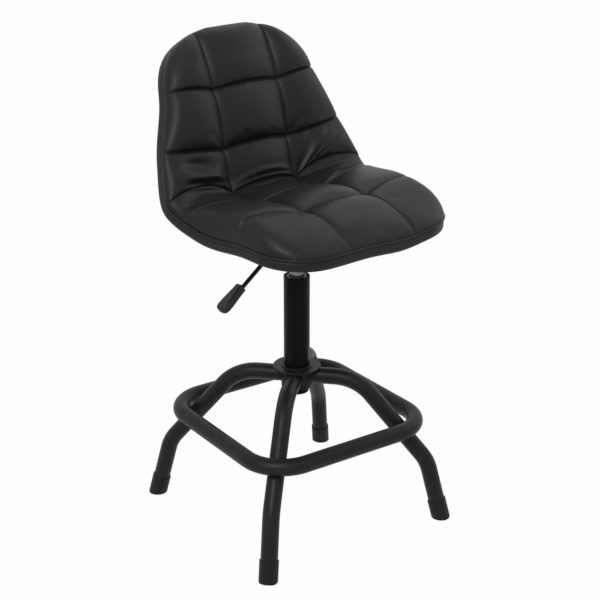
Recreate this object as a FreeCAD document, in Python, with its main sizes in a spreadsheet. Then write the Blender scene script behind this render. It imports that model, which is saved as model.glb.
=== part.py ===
import FreeCAD, Part
import math
import os
import Sketcher
from FreeCAD import Placement, Rotation, Vector

# A machinist stool: four bent tube legs welded to a hub, a square foot ring, a gas lift that
# swivels and slides in the hub, and a quilted bucket seat with a release lever under it.
# Millimetres. The origin is on the floor under the column, +Z is up and the seat's front faces
# -Y, so the sitter's right hand, where the lever is, is towards -X.

SIZES = {
    # round tube of the legs and the foot ring
    "tube_diameter": 32,
    "tube_wall": 1.5,
    # leg centreline in its own upright plane, measured from the column's axis
    "leg_height": 285.5,
    "leg_shoulder_radius": 117.9,
    "leg_knee_radius": 257.7,
    "leg_knee_height": 120.6,
    "leg_shoulder_bend": 90,
    "leg_knee_bend": 80,
    "leg_end_height": 7,
    "foot_radius": 288.7,
    "leg_turn": 37.6,
    # foot cap, a cup pushed on the end of each leg
    "cap_wall": 2,
    "cap_length": 40,
    "cap_lip": 1.2,
    "cap_sole_drop": 3,
    # foot ring, a rounded square whose corners lie on the legs
    "ring_corner": 76,
    "ring_height": 202,
    "ring_clearance": 0.06,
    "ring_butt_gap": 0.4,
    "ring_weld_radius": 9.5,
    "seam_bead": 1.2,
    # hub that holds the column, and the disc on top of the legs
    "hub_diameter": 60,
    "hub_drop": 22.5,
    "hub_lip": 5.5,
    "collar_diameter": 92,
    "collar_thickness": 3.3,
    "collar_edge": 1.2,
    # outer column of the gas lift
    "column_diameter": 50,
    "column_wall": 1.5,
    "column_bottom": 250.7,
    "column_top": 488,
    "column_floor": 3,
    "column_taper_top": 306,
    "column_taper_angle": 1.43,
    "column_roll": 1.8,
    "column_crimp": 1,
    "bush_length": 62,
    "bush_clearance": 0.06,
    # thrust bearing on the column's floor
    "bearing_diameter": 32,
    "washer_thickness": 2,
    "ball_diameter": 5,
    "ball_circle": 21,
    "ball_count": 10,
    "ball_clearance": 0.04,
    "cage_thickness": 2.4,
    # piston rod and what is on it
    "rod_diameter": 10,
    "rod_stub_diameter": 8,
    "rod_end_drop": 8,
    "rod_clearance": 0.08,
    "bumper_diameter": 27,
    "bumper_length": 18,
    "clip_diameter": 19,
    "clip_thickness": 1.5,
    "clip_neck": 6.2,
    "piston_height": 448,
    "piston_length": 15,
    # pressure cylinder, the bright inner tube
    "cylinder_diameter": 28,
    "cylinder_wall": 1.5,
    "cylinder_bottom": 342,
    "cylinder_top": 571,
    "cylinder_taper_bottom": 540,
    "cylinder_taper_angle": 1.43,
    "cylinder_head": 26,
    "gland_length": 16,
    "button_diameter": 7,
    "button_rise": 5,
    "button_stem": 30,
    "button_clearance": 0.08,
    # pressed plate, channel and cone socket under the seat
    "pan_level": 588,
    "plate_seat_gap": 0.3,
    "plate_thickness": 2.5,
    "plate_width": 170,
    "plate_depth": 126,
    "plate_corner": 16,
    "bolt_across": 65,
    "bolt_along": 45,
    "bolt_hole": 9,
    "channel_half_length": 44,
    "channel_half_width": 40,
    "channel_level": 548,
    "lug_gap": 7.6,
    "lug_length": 18,
    "lug_top": 570,
    "socket_wall": 4,
    "socket_bottom": 540,
    "socket_length": 30,
    # bolts, washers and tee nuts
    "bolt_diameter": 8,
    "bolt_head": 13,
    "bolt_head_height": 5.3,
    "bolt_washer": 17,
    "bolt_washer_thickness": 1.6,
    "bolt_grip": 14,
    "tee_barrel": 10.5,
    "tee_flange": 20,
    "tee_flange_thickness": 1.4,
    "tee_depth": 7,
    # release lever
    "lever_diameter": 8,
    "lever_gap": 0.2,
    "lever_tip_reach": 6,
    "lever_knee_reach": 14,
    "lever_knee_bend": 12,
    "lever_pivot_reach": 36,
    "lever_grip_reach": 139,
    "lever_grip_level": 493,
    "lever_boss_diameter": 13,
    "lever_boss_width": 14,
    "lever_pin_diameter": 5,
    "lever_pin_head": 8,
    "grip_length": 66,
    "grip_overlap": 12,
    "grip_neck_width": 12,
    "grip_neck_height": 12,
    "grip_end_width": 27,
    "grip_end_height": 15,
    "grip_corner": 4,
    "grip_bevel": 2.5,
    # quilt: the lengths and slopes of its six rows of panels, front to top
    "front_length": 130,
    "front_slope": 18.7,
    "front_crown": 24,
    "middle_length": 117,
    "middle_slope": -4.4,
    "middle_crown": 14,
    "rear_length": 73.2,
    "rear_slope": 4.5,
    "rear_crown": 9,
    "lumbar_length": 80.2,
    "lumbar_slope": 71.9,
    "lumbar_crown": 12,
    "back_length": 110.9,
    "back_slope": 75.6,
    "back_crown": 14,
    "head_length": 118.6,
    "head_slope": 62.7,
    "head_crown": 12,
    "quilt_start_y": -225.1,
    "quilt_start_z": 608.9,
    "channel_offset": 77,
    "seam_dip": 0.35,
    # seat outline: half width, rim level against the quilt and tilt of the section at each seam
    "nose_half_width": 206.3,
    "thigh_half_width": 212.2,
    "hip_half_width": 226,
    "fold_half_width": 236.6,
    "waist_half_width": 217.7,
    "blade_half_width": 179.7,
    "top_half_width": 161.2,
    "nose_rim": -1.5,
    "thigh_rim": -33.9,
    "hip_rim": -19.3,
    "fold_rim": 9.3,
    "waist_rim": -2.4,
    "blade_rim": -18,
    "top_rim": -15.6,
    "nose_tilt": 0,
    "thigh_tilt": 2,
    "hip_tilt": 4,
    "fold_tilt": 38,
    "waist_tilt": 73,
    "blade_tilt": 68,
    "top_tilt": 60,
    "nose_corner": 95.6,
    "top_corner": 113,
    # shell and covers
    "fold_depth": 48,
    "waist_depth": 38,
    "blade_depth": 40,
    "top_depth": 36,
    "flat_half_width": 105,
    "band_height": 21,
    "band_round": 8,
    "cover_thickness": 3.5,
    "shell_thickness": 9,
    "soft_clearance": 0.3,
    "shoulder_width": 20,
    "shoulder_height": 8,
}

doc = FreeCAD.newDocument("MachinistStool")
sheet = doc.addObject("Spreadsheet::Sheet", "Sizes")
for row, (alias, number) in enumerate(SIZES.items(), start=1):
    sheet.set(f"A{row}", alias)
    sheet.set(f"B{row}", str(number))
    sheet.setAlias(f"B{row}", alias)
doc.recompute()

pieces = []


def value(expression):
    """What an expression over the sheet's sizes comes to, as a plain number."""
    return float(sheet.evalExpression(expression))


def size(alias):
    """One size of the sheet."""
    return float(sheet.get(alias))


def bind(item, links):
    """Drive properties of an object by expressions."""
    for path, expression in links.items():
        item.setExpression(path, expression)


def piece(item, name):
    """Name an object as one sub-part of the stool."""
    item.Label = name
    pieces.append(item)
    return item


def new_body(name):
    return piece(doc.addObject("PartDesign::Body", name), name)


def turn_body(body, expression):
    """Turn a body about the column's axis."""
    body.Placement = Placement(Vector(), Rotation(Vector(0, 0, 1), 1))
    body.setExpression("Placement.Rotation.Angle", expression)


# sketches

def sketch_on(body, name, role, along=None):
    """A sketch on one of the body's own origin planes, shifted along that plane's normal."""
    sketch = body.newObject("Sketcher::SketchObject", name)
    plane = next(part for part in body.Origin.OriginFeatures if part.Role == role)
    sketch.AttachmentSupport = [(plane, "")]
    sketch.MapMode = "FlatFace"
    if along is not None:
        sketch.setExpression("AttachmentOffset.Base.z", along)
    return sketch


def hold_point(sketch, geometry, end, name, across, up):
    """Keep a point at two expressions measured from the sketch's origin."""
    for kind, expression in (("DistanceX", across), ("DistanceY", up)):
        rule = Sketcher.Constraint(kind, -1, 1, geometry, end, value(expression))
        label = f"{name}_{kind[-1].lower()}"
        sketch.renameConstraint(sketch.addConstraint(rule), label)
        sketch.setExpression(f"Constraints.{label}", expression)


def hold_radius(sketch, geometry, name, radius):
    rule = Sketcher.Constraint("Radius", geometry, value(radius))
    sketch.renameConstraint(sketch.addConstraint(rule), name)
    sketch.setExpression(f"Constraints.{name}", radius)


def draw_polygon(sketch, corners, name="corner"):
    """A closed run of straight edges through corners given as pairs of expressions."""
    points = [Vector(value(across), value(up), 0) for across, up in corners]
    first = sketch.GeometryCount
    count = len(points)
    for i in range(count):
        sketch.addGeometry(Part.LineSegment(points[i], points[(i + 1) % count]))
    for i in range(count):
        following = first + (i + 1) % count
        sketch.addConstraint(Sketcher.Constraint("Coincident", first + i, 2, following, 1))
    for i, (across, up) in enumerate(corners):
        hold_point(sketch, first + i, 1, f"{name}{i}", across, up)


def draw_circle(sketch, name, across, up, radius):
    centre = Vector(value(across), value(up), 0)
    circle = Part.Circle(centre, Vector(0, 0, 1), value(radius))
    geometry = sketch.addGeometry(circle)
    hold_point(sketch, geometry, 3, name, across, up)
    hold_radius(sketch, geometry, f"{name}_radius", radius)


def draw_bent_line(sketch, stops, bends):
    """A centreline of straight runs between stops, rounded at each inner stop."""
    points = [Vector(value(across), value(up), 0) for across, up in stops]
    starts, ends, arcs = [points[0]], [], []
    for i, bend in enumerate(bends, start=1):
        before = (points[i] - points[i - 1]).normalize()
        after = (points[i + 1] - points[i]).normalize()
        turn = math.atan2(before.cross(after).z, before.dot(after))
        radius = value(bend)
        reach = radius * math.tan(abs(turn) / 2)
        ends.append(points[i] - before * reach)
        starts.append(points[i] + after * reach)
        side = Vector(-before.y, before.x, 0) * math.copysign(radius, turn)
        centre = ends[-1] + side
        spokes = [math.atan2(*reversed((p - centre)[:2])) for p in (ends[-1], starts[-1])]
        arcs.append((centre, radius, spokes if turn > 0 else spokes[::-1], turn > 0))
    ends.append(points[-1])
    runs = [sketch.addGeometry(Part.LineSegment(a, b)) for a, b in zip(starts, ends)]
    for i, (centre, radius, spokes, left) in enumerate(arcs):
        circle = Part.Circle(centre, Vector(0, 0, 1), radius)
        arc = sketch.addGeometry(Part.ArcOfCircle(circle, *spokes))
        near, far = (1, 2) if left else (2, 1)
        sketch.addConstraint(Sketcher.Constraint("Tangent", runs[i], 2, arc, near))
        sketch.addConstraint(Sketcher.Constraint("Tangent", runs[i + 1], 1, arc, far))
        hold_radius(sketch, arc, f"bend{i}", bends[i])
        corner = sketch.addGeometry(Part.Point(points[i + 1]), True)
        hold_point(sketch, corner, 1, f"stop{i + 1}", *stops[i + 1])
        for run in (runs[i], runs[i + 1]):
            sketch.addConstraint(Sketcher.Constraint("PointOnObject", corner, 1, run))
    hold_point(sketch, runs[0], 1, "first", *stops[0])
    hold_point(sketch, runs[-1], 2, "last", *stops[-1])


# features

def revolve(body, sketch):
    """Revolve a profile about its sketch's upright axis."""
    feature = body.newObject("PartDesign::Revolution", sketch.Name + "Turned")
    feature.Profile = sketch
    feature.ReferenceAxis = (sketch, ["V_Axis"])
    feature.Angle = 360
    doc.recompute()
    return feature


def pad(body, sketch, length, midplane=False, down=False):
    feature = body.newObject("PartDesign::Pad", sketch.Name + "Pad")
    feature.Profile = sketch
    feature.setExpression("Length", length)
    feature.Midplane = midplane
    feature.Reversed = down
    doc.recompute()
    return feature


def pocket(body, sketch, length=None, up=False):
    """Cut a profile into the body, and stop if it removes nothing."""
    before = body.Shape.Volume
    feature = body.newObject("PartDesign::Pocket", sketch.Name + "Cut")
    feature.Profile = sketch
    if length is None:
        feature.Type = "ThroughAll"
        feature.Midplane = True
    else:
        feature.setExpression("Length", length)
        feature.Reversed = up
    doc.recompute()
    if body.Shape.Volume > before - 1e-3:
        raise RuntimeError(f"{feature.Name} cuts nothing")
    return feature


def pipe(body, profile, path):
    feature = body.newObject("PartDesign::AdditivePipe", path.Name + "Pipe")
    feature.Profile = profile
    feature.Spine = (path, [])
    doc.recompute()
    return feature


def edge_names(feature, wanted):
    """Names of a feature's edges that pass a test."""
    return [f"Edge{i}" for i, edge in enumerate(feature.Shape.Edges, start=1) if wanted(edge)]


def rim_at(radius, height):
    """Test for a full circle of one radius at one height."""
    def wanted(edge):
        curve = edge.Curve
        if not isinstance(curve, Part.Circle) or not edge.isClosed():
            return False
        return abs(curve.Radius - radius) < 0.01 and abs(curve.Center.z - height) < 0.01
    return wanted


def dress(body, kind, feature, names, sizes):
    """Round or bevel some edges of a feature."""
    item = body.newObject(f"PartDesign::{kind}", f"{feature.Name}{kind}")
    item.Base = (feature, names)
    bind(item, sizes)
    doc.recompute()
    return item


# base: legs, foot caps, ring, hub and collar

LEGS = {
    "rear_left": "Sizes.leg_turn",
    "rear_right": "Sizes.leg_turn + 90",
    "front_right": "Sizes.leg_turn + 180",
    "front_left": "Sizes.leg_turn + 270",
}
FOOT_LEAN = "(Sizes.foot_radius - Sizes.leg_knee_radius) / Sizes.leg_knee_height"


def make_leg(place, turn):
    """A tube from the hub outwards, bent down twice and coped round the hub."""
    body = new_body(f"leg_{place}")
    start = "Sizes.hub_diameter / 2 - 8"
    path = sketch_on(body, f"LegPath_{place}", "XZ_Plane")
    draw_bent_line(path, [
        (start, "Sizes.leg_height"),
        ("Sizes.leg_shoulder_radius", "Sizes.leg_height"),
        ("Sizes.leg_knee_radius", "Sizes.leg_knee_height"),
        (f"Sizes.foot_radius - Sizes.leg_end_height * {FOOT_LEAN}", "Sizes.leg_end_height"),
    ], ["Sizes.leg_shoulder_bend", "Sizes.leg_knee_bend"])
    ends = sketch_on(body, f"LegSection_{place}", "YZ_Plane", along=start)
    draw_circle(ends, "outer", "0", "Sizes.leg_height", "Sizes.tube_diameter / 2")
    draw_circle(ends, "inner", "0", "Sizes.leg_height",
                "Sizes.tube_diameter / 2 - Sizes.tube_wall")
    pipe(body, ends, path)
    cope = sketch_on(body, f"LegCope_{place}", "XY_Plane")
    draw_circle(cope, "hub", "0", "0", "Sizes.hub_diameter / 2")
    pocket(body, cope)
    turn_body(body, turn)
    return body


def make_foot_cap(place, turn):
    """A cup turned about the leg's lower run and cut flat where it stands."""
    body = new_body(f"foot_cap_{place}")
    outer = "Sizes.tube_diameter / 2 + Sizes.cap_wall"
    cup = sketch_on(body, f"CapProfile_{place}", "XZ_Plane")
    cup.AttachmentOffset = Placement(Vector(), Rotation(Vector(0, 0, 1), 1))
    cup.setExpression("AttachmentOffset.Base.x", "Sizes.foot_radius")
    cup.setExpression("AttachmentOffset.Rotation.Angle", f"atan({FOOT_LEAN})")
    floor = f"Sizes.leg_end_height * sqrt(1 + ({FOOT_LEAN})^2)"
    draw_polygon(cup, [
        ("0", "-Sizes.cap_sole_drop"),
        (outer, "-Sizes.cap_sole_drop"),
        (outer, "Sizes.cap_length - Sizes.cap_lip"),
        (f"{outer} - Sizes.cap_lip", "Sizes.cap_length"),
        ("Sizes.tube_diameter / 2", "Sizes.cap_length"),
        ("Sizes.tube_diameter / 2", floor),
        ("0", floor),
    ])
    revolve(body, cup)
    sole = sketch_on(body, f"CapSole_{place}", "XY_Plane")
    draw_circle(sole, "sole", "Sizes.foot_radius", "0", "Sizes.tube_diameter")
    pocket(body, sole, "Sizes.tube_diameter")
    turn_body(body, turn)
    return body


for place, turn in LEGS.items():
    make_leg(place, turn)
    make_foot_cap(place, turn)

ring = new_body("foot_ring")
ring_path = sketch_on(ring, "RingPath", "XY_Plane", along="Sizes.ring_height")
RUN_OUT = "(Sizes.leg_knee_radius - Sizes.leg_shoulder_radius)"
RUN_DOWN = "(Sizes.leg_height - Sizes.leg_knee_height)"
RING_REACH = f"(Sizes.leg_shoulder_radius + ((Sizes.leg_height - Sizes.ring_height) * {RUN_OUT}" \
             " + (Sizes.tube_diameter + Sizes.ring_clearance)" \
             f" * sqrt({RUN_OUT}^2 + {RUN_DOWN}^2)) / {RUN_DOWN})"
half = f"(({RING_REACH} - Sizes.ring_corner) / sqrt(2) + Sizes.ring_corner)"
draw_bent_line(ring_path, [
    ("Sizes.ring_butt_gap / 2", half),
    (half, half),
    (half, f"-{half}"),
    (f"-{half}", f"-{half}"),
    (f"-{half}", half),
    ("-Sizes.ring_butt_gap / 2", half),
], ["Sizes.ring_corner"] * 4)
ring_section = sketch_on(ring, "RingSection", "YZ_Plane", along="Sizes.ring_butt_gap / 2")
draw_circle(ring_section, "outer", half, "Sizes.ring_height", "Sizes.tube_diameter / 2")
draw_circle(ring_section, "inner", half, "Sizes.ring_height",
            "Sizes.tube_diameter / 2 - Sizes.tube_wall")
pipe(ring, ring_section, ring_path)
turn_body(ring, "Sizes.leg_turn - 45")


def make_ring_welds():
    """A bead round each place where the ring touches a leg, cut back to both tubes."""
    tube = size("tube_diameter") / 2
    shoulder = Vector(size("leg_shoulder_radius"), 0, size("leg_height"))
    knee = Vector(size("leg_knee_radius"), 0, size("leg_knee_height"))
    along = (knee - shoulder).normalize()
    ring_point = Vector(value(RING_REACH), 0, size("ring_height"))
    corner_centre = ring_point.x - size("ring_corner")
    foot = shoulder + along * (ring_point - shoulder).dot(along)
    touch = (foot + ring_point) * 0.5
    bead = Part.makeSphere(size("ring_weld_radius"), touch)
    leg_rod = Part.makeCylinder(tube, 120, foot - along * 60, along)
    corner = Part.makeTorus(size("ring_corner"), tube)
    corner.translate(Vector(corner_centre, 0, size("ring_height")))
    bead = bead.cut([leg_rod, corner])
    beads = []
    for quarter in range(4):
        copy = bead.copy()
        copy.rotate(Vector(), Vector(0, 0, 1), size("leg_turn") + 90 * quarter)
        beads.extend(copy.Solids)
    return Part.makeCompound(beads)


ring_welds = piece(doc.addObject("Part::Feature", "ring_welds"), "ring_welds")
ring_welds.Shape = make_ring_welds()

seam = new_body("ring_seam_weld")
seam_profile = sketch_on(seam, "SeamProfile", "YZ_Plane")
draw_circle(seam_profile, "outer", half, "Sizes.ring_height",
            "Sizes.tube_diameter / 2")
draw_circle(seam_profile, "inner", half, "Sizes.ring_height",
            "Sizes.tube_diameter / 2 - Sizes.seam_bead")
pad(seam, seam_profile, "Sizes.ring_butt_gap", midplane=True)
turn_body(seam, "Sizes.leg_turn - 45")

LEG_TOP = "(Sizes.leg_height + Sizes.tube_diameter / 2)"
COLLAR_TOP = f"({LEG_TOP} + Sizes.collar_thickness)"
HUB_BOTTOM = "(Sizes.leg_height - Sizes.hub_drop)"
COLUMN_EDGE = "Sizes.column_diameter / 2"


def column_radius(height):
    """Outer radius of the column's tapered end at a height, as an expression."""
    return f"({COLUMN_EDGE} - (Sizes.column_taper_top - {height}) * tan(Sizes.column_taper_angle))"


hub = new_body("hub_tube")
hub_profile = sketch_on(hub, "HubProfile", "XZ_Plane")
hub_top = f"({LEG_TOP} + Sizes.hub_lip)"
draw_polygon(hub_profile, [
    (column_radius(HUB_BOTTOM), HUB_BOTTOM),
    ("Sizes.hub_diameter / 2", HUB_BOTTOM),
    ("Sizes.hub_diameter / 2", hub_top),
    (COLUMN_EDGE, hub_top),
    (COLUMN_EDGE, "Sizes.column_taper_top"),
])
hub_turned = revolve(hub, hub_profile)
hub_rim = edge_names(hub_turned, rim_at(value("Sizes.hub_diameter / 2"), value(hub_top)))
dress(hub, "Fillet", hub_turned, hub_rim, {"Radius": "Sizes.collar_edge"})

collar = new_body("hub_collar")
collar_profile = sketch_on(collar, "CollarProfile", "XZ_Plane")
draw_polygon(collar_profile, [
    ("Sizes.hub_diameter / 2", LEG_TOP),
    ("Sizes.collar_diameter / 2", LEG_TOP),
    ("Sizes.collar_diameter / 2", COLLAR_TOP),
    ("Sizes.hub_diameter / 2", COLLAR_TOP),
])
collar_turned = revolve(collar, collar_profile)
collar_rim = edge_names(collar_turned, rim_at(value("Sizes.collar_diameter / 2"),
                                              value(COLLAR_TOP)))
dress(collar, "Fillet", collar_turned, collar_rim, {"Radius": "Sizes.collar_edge"})

# gas lift: outer column, guide bush and thrust bearing

BORE = "(Sizes.column_diameter / 2 - Sizes.column_wall)"
FLOOR_TOP = "(Sizes.column_bottom + Sizes.column_floor)"
ROD_HOLE = "(Sizes.rod_stub_diameter / 2 + Sizes.rod_clearance)"

column = new_body("outer_column")
column_profile = sketch_on(column, "ColumnProfile", "XZ_Plane")
foot_edge = column_radius("Sizes.column_bottom")
draw_polygon(column_profile, [
    (ROD_HOLE, "Sizes.column_bottom"),
    (foot_edge, "Sizes.column_bottom"),
    (COLUMN_EDGE, "Sizes.column_taper_top"),
    (COLUMN_EDGE, "Sizes.column_top"),
    (f"{BORE} - Sizes.column_crimp", "Sizes.column_top"),
    (f"{BORE} - Sizes.column_crimp", "Sizes.column_top - Sizes.column_wall"),
    (BORE, "Sizes.column_top - Sizes.column_wall"),
    (BORE, "Sizes.column_taper_top"),
    (f"{foot_edge} - Sizes.column_wall", FLOOR_TOP),
    (ROD_HOLE, FLOOR_TOP),
])
column_turned = revolve(column, column_profile)
foot_rim = edge_names(column_turned, rim_at(value(foot_edge), size("column_bottom")))
top_rim = edge_names(column_turned, rim_at(value(COLUMN_EDGE), size("column_top")))
dress(column, "Fillet", column_turned, foot_rim + top_rim, {"Radius": "Sizes.column_roll"})

bush = new_body("guide_bush")
bush_profile = sketch_on(bush, "BushProfile", "XZ_Plane")
bush_bore = "(Sizes.cylinder_diameter / 2 + Sizes.bush_clearance)"
bush_top = "(Sizes.column_top - Sizes.column_wall)"
draw_polygon(bush_profile, [
    (f"{bush_bore} + 1", f"{bush_top} - Sizes.bush_length"),
    (BORE, f"{bush_top} - Sizes.bush_length"),
    (BORE, bush_top),
    (f"{BORE} - Sizes.column_crimp", bush_top),
    (f"{BORE} - Sizes.column_crimp", "Sizes.column_top"),
    (f"{bush_bore} + 0.8", "Sizes.column_top"),
    (bush_bore, "Sizes.column_top - 0.8"),
    (bush_bore, f"{bush_top} - Sizes.bush_length + 1"),
])
revolve(bush, bush_profile)

BALL_LEVEL = f"({FLOOR_TOP} + Sizes.washer_thickness + Sizes.ball_clearance" \
             " + Sizes.ball_diameter / 2)"
UPPER_WASHER = f"({BALL_LEVEL} + Sizes.ball_diameter / 2 + Sizes.ball_clearance)"
ROD_SHOULDER = f"({UPPER_WASHER} + Sizes.washer_thickness)"
SEAL_BORE = "(Sizes.rod_stub_diameter / 2 + Sizes.rod_clearance)"


def make_ring(name, inner, outer, bottom, top):
    """A plain ring turned about the column's axis."""
    body = new_body(name)
    profile = sketch_on(body, f"Profile_{name}", "XZ_Plane")
    draw_polygon(profile, [(inner, bottom), (outer, bottom), (outer, top), (inner, top)])
    return body, revolve(body, profile)


make_ring("bearing_washer_lower", SEAL_BORE, "Sizes.bearing_diameter / 2", FLOOR_TOP,
          f"{FLOOR_TOP} + Sizes.washer_thickness")
make_ring("bearing_washer_upper", "Sizes.rod_stub_diameter / 2", "Sizes.bearing_diameter / 2",
          UPPER_WASHER, ROD_SHOULDER)

cage, cage_ring = make_ring(
    "bearing_cage", "Sizes.rod_stub_diameter / 2 + 1", "Sizes.bearing_diameter / 2 - 0.6",
    f"{BALL_LEVEL} - Sizes.cage_thickness / 2", f"{BALL_LEVEL} + Sizes.cage_thickness / 2")
ball_hole = sketch_on(cage, "BallHole", "XY_Plane", along=BALL_LEVEL)
draw_circle(ball_hole, "hole", "Sizes.ball_circle / 2", "0",
            "Sizes.ball_diameter / 2 + Sizes.ball_clearance")
cage_cut = pocket(cage, ball_hole)
cage_holes = cage.newObject("PartDesign::PolarPattern", "BallHoles")
cage_holes.Originals = [cage_cut]
cage_holes.Axis = (ball_hole, ["N_Axis"])
cage_holes.Angle = 360
cage_holes.setExpression("Occurrences", "Sizes.ball_count")
cage.Tip = cage_holes
doc.recompute()


def around_axis(shape, count, radius, level):
    """Copies of a shape spaced evenly on a circle about the column's axis."""
    copies = []
    for i in range(count):
        copy = shape.copy()
        copy.translate(Vector(radius, 0, level))
        copy.rotate(Vector(), Vector(0, 0, 1), 360 * i / count)
        copies.append(copy)
    return Part.makeCompound(copies)


balls = piece(doc.addObject("Part::Feature", "bearing_balls"), "bearing_balls")
balls.Shape = around_axis(Part.makeSphere(size("ball_diameter") / 2), int(size("ball_count")),
                          size("ball_circle") / 2, value(BALL_LEVEL))

# piston rod, its clip, bumper and piston

rod = new_body("piston_rod")
rod_profile = sketch_on(rod, "RodProfile", "XZ_Plane")
rod_bottom = "(Sizes.column_bottom - Sizes.rod_end_drop)"
groove_top = "(Sizes.column_bottom - 0.2)"
groove_bottom = f"({groove_top} - Sizes.clip_thickness - 0.1)"
rod_edge = "Sizes.rod_diameter / 2"
stub_edge = "Sizes.rod_stub_diameter / 2"
draw_polygon(rod_profile, [
    ("0", rod_bottom),
    (f"{stub_edge} - 0.8", rod_bottom),
    (stub_edge, f"{rod_bottom} + 0.8"),
    (stub_edge, groove_bottom),
    ("Sizes.clip_neck / 2", groove_bottom),
    ("Sizes.clip_neck / 2", groove_top),
    (stub_edge, groove_top),
    (stub_edge, ROD_SHOULDER),
    (rod_edge, ROD_SHOULDER),
    (rod_edge, "Sizes.piston_height"),
    (f"{rod_edge} - 1.5", "Sizes.piston_height"),
    (f"{rod_edge} - 1.5", "Sizes.piston_height + Sizes.piston_length + 3"),
    ("0", "Sizes.piston_height + Sizes.piston_length + 3"),
])
revolve(rod, rod_profile)

clip = new_body("rod_clip")
clip_outline = sketch_on(clip, "ClipOutline", "XY_Plane", along=f"{groove_bottom} + 0.05")
draw_circle(clip_outline, "outer", "0", "0", "Sizes.clip_diameter / 2")
draw_circle(clip_outline, "neck", "0", "0", "Sizes.clip_neck / 2")
pad(clip, clip_outline, "Sizes.clip_thickness")
clip_mouth = sketch_on(clip, "ClipMouth", "XY_Plane", along=groove_bottom)
draw_polygon(clip_mouth, [
    ("-Sizes.clip_neck / 2 + 0.4", "0"),
    ("Sizes.clip_neck / 2 - 0.4", "0"),
    ("Sizes.clip_neck / 2 + 0.6", "Sizes.clip_diameter"),
    ("-Sizes.clip_neck / 2 - 0.6", "Sizes.clip_diameter"),
])
pocket(clip, clip_mouth)

bumper, bumper_ring = make_ring(
    "rubber_bumper", rod_edge, "Sizes.bumper_diameter / 2", ROD_SHOULDER,
    f"{ROD_SHOULDER} + Sizes.bumper_length")
bumper_rim = edge_names(bumper_ring, rim_at(
    value("Sizes.bumper_diameter / 2"), value(f"{ROD_SHOULDER} + Sizes.bumper_length")))
dress(bumper, "Fillet", bumper_ring, bumper_rim, {"Radius": "3"})

CYLINDER_BORE = "(Sizes.cylinder_diameter / 2 - Sizes.cylinder_wall)"
piston = new_body("piston")
piston_profile = sketch_on(piston, "PistonProfile", "XZ_Plane")
piston_edge = f"({CYLINDER_BORE} - Sizes.rod_clearance)"
piston_end = "(Sizes.piston_height + Sizes.piston_length)"
draw_polygon(piston_profile, [
    (f"{rod_edge} - 1.5", "Sizes.piston_height"),
    (piston_edge, "Sizes.piston_height"),
    (piston_edge, "Sizes.piston_height + 5"),
    (f"{piston_edge} - 2", "Sizes.piston_height + 5"),
    (f"{piston_edge} - 2", "Sizes.piston_height + 9"),
    (piston_edge, "Sizes.piston_height + 9"),
    (piston_edge, piston_end),
    (f"{rod_edge} - 1.5", piston_end),
])
revolve(piston, piston_profile)

# pressure cylinder, gland and release button


def cylinder_radius(height):
    """Outer radius of the cylinder's tapered top at a height, as an expression."""
    return f"(Sizes.cylinder_diameter / 2" \
           f" - ({height} - Sizes.cylinder_taper_bottom) * tan(Sizes.cylinder_taper_angle))"


cylinder = new_body("lift_cylinder")
cylinder_profile = sketch_on(cylinder, "CylinderProfile", "XZ_Plane")
stem_hole = "(Sizes.button_diameter / 2 + Sizes.button_clearance)"
head_bottom = "(Sizes.cylinder_top - Sizes.cylinder_head)"
draw_polygon(cylinder_profile, [
    (CYLINDER_BORE, "Sizes.cylinder_bottom"),
    ("Sizes.cylinder_diameter / 2", "Sizes.cylinder_bottom"),
    ("Sizes.cylinder_diameter / 2", "Sizes.cylinder_taper_bottom"),
    (cylinder_radius("Sizes.cylinder_top"), "Sizes.cylinder_top"),
    (stem_hole, "Sizes.cylinder_top"),
    (stem_hole, head_bottom),
    (f"{CYLINDER_BORE} - 1", head_bottom),
    (f"{CYLINDER_BORE} - 1", "Sizes.cylinder_taper_bottom"),
    (CYLINDER_BORE, "Sizes.cylinder_taper_bottom - 2"),
])
revolve(cylinder, cylinder_profile)

make_ring("cylinder_gland", "Sizes.rod_diameter / 2 + Sizes.rod_clearance", CYLINDER_BORE,
          "Sizes.cylinder_bottom", "Sizes.cylinder_bottom + Sizes.gland_length")

BUTTON_TOP = "(Sizes.cylinder_top + Sizes.button_rise)"
button = new_body("release_button")
button_profile = sketch_on(button, "ButtonProfile", "XZ_Plane")
draw_polygon(button_profile, [
    ("0", f"{BUTTON_TOP} - Sizes.button_stem"),
    ("Sizes.button_diameter / 2", f"{BUTTON_TOP} - Sizes.button_stem"),
    ("Sizes.button_diameter / 2", BUTTON_TOP),
    ("0", BUTTON_TOP),
])
button_turned = revolve(button, button_profile)
button_rim = edge_names(button_turned, rim_at(size("button_diameter") / 2, value(BUTTON_TOP)))
dress(button, "Fillet", button_turned, button_rim, {"Radius": "1.2"})

# plate, channel and cone socket

PLATE_TOP = "(Sizes.pan_level - Sizes.plate_seat_gap)"
PLATE_BOTTOM = f"({PLATE_TOP} - Sizes.plate_thickness)"

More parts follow.
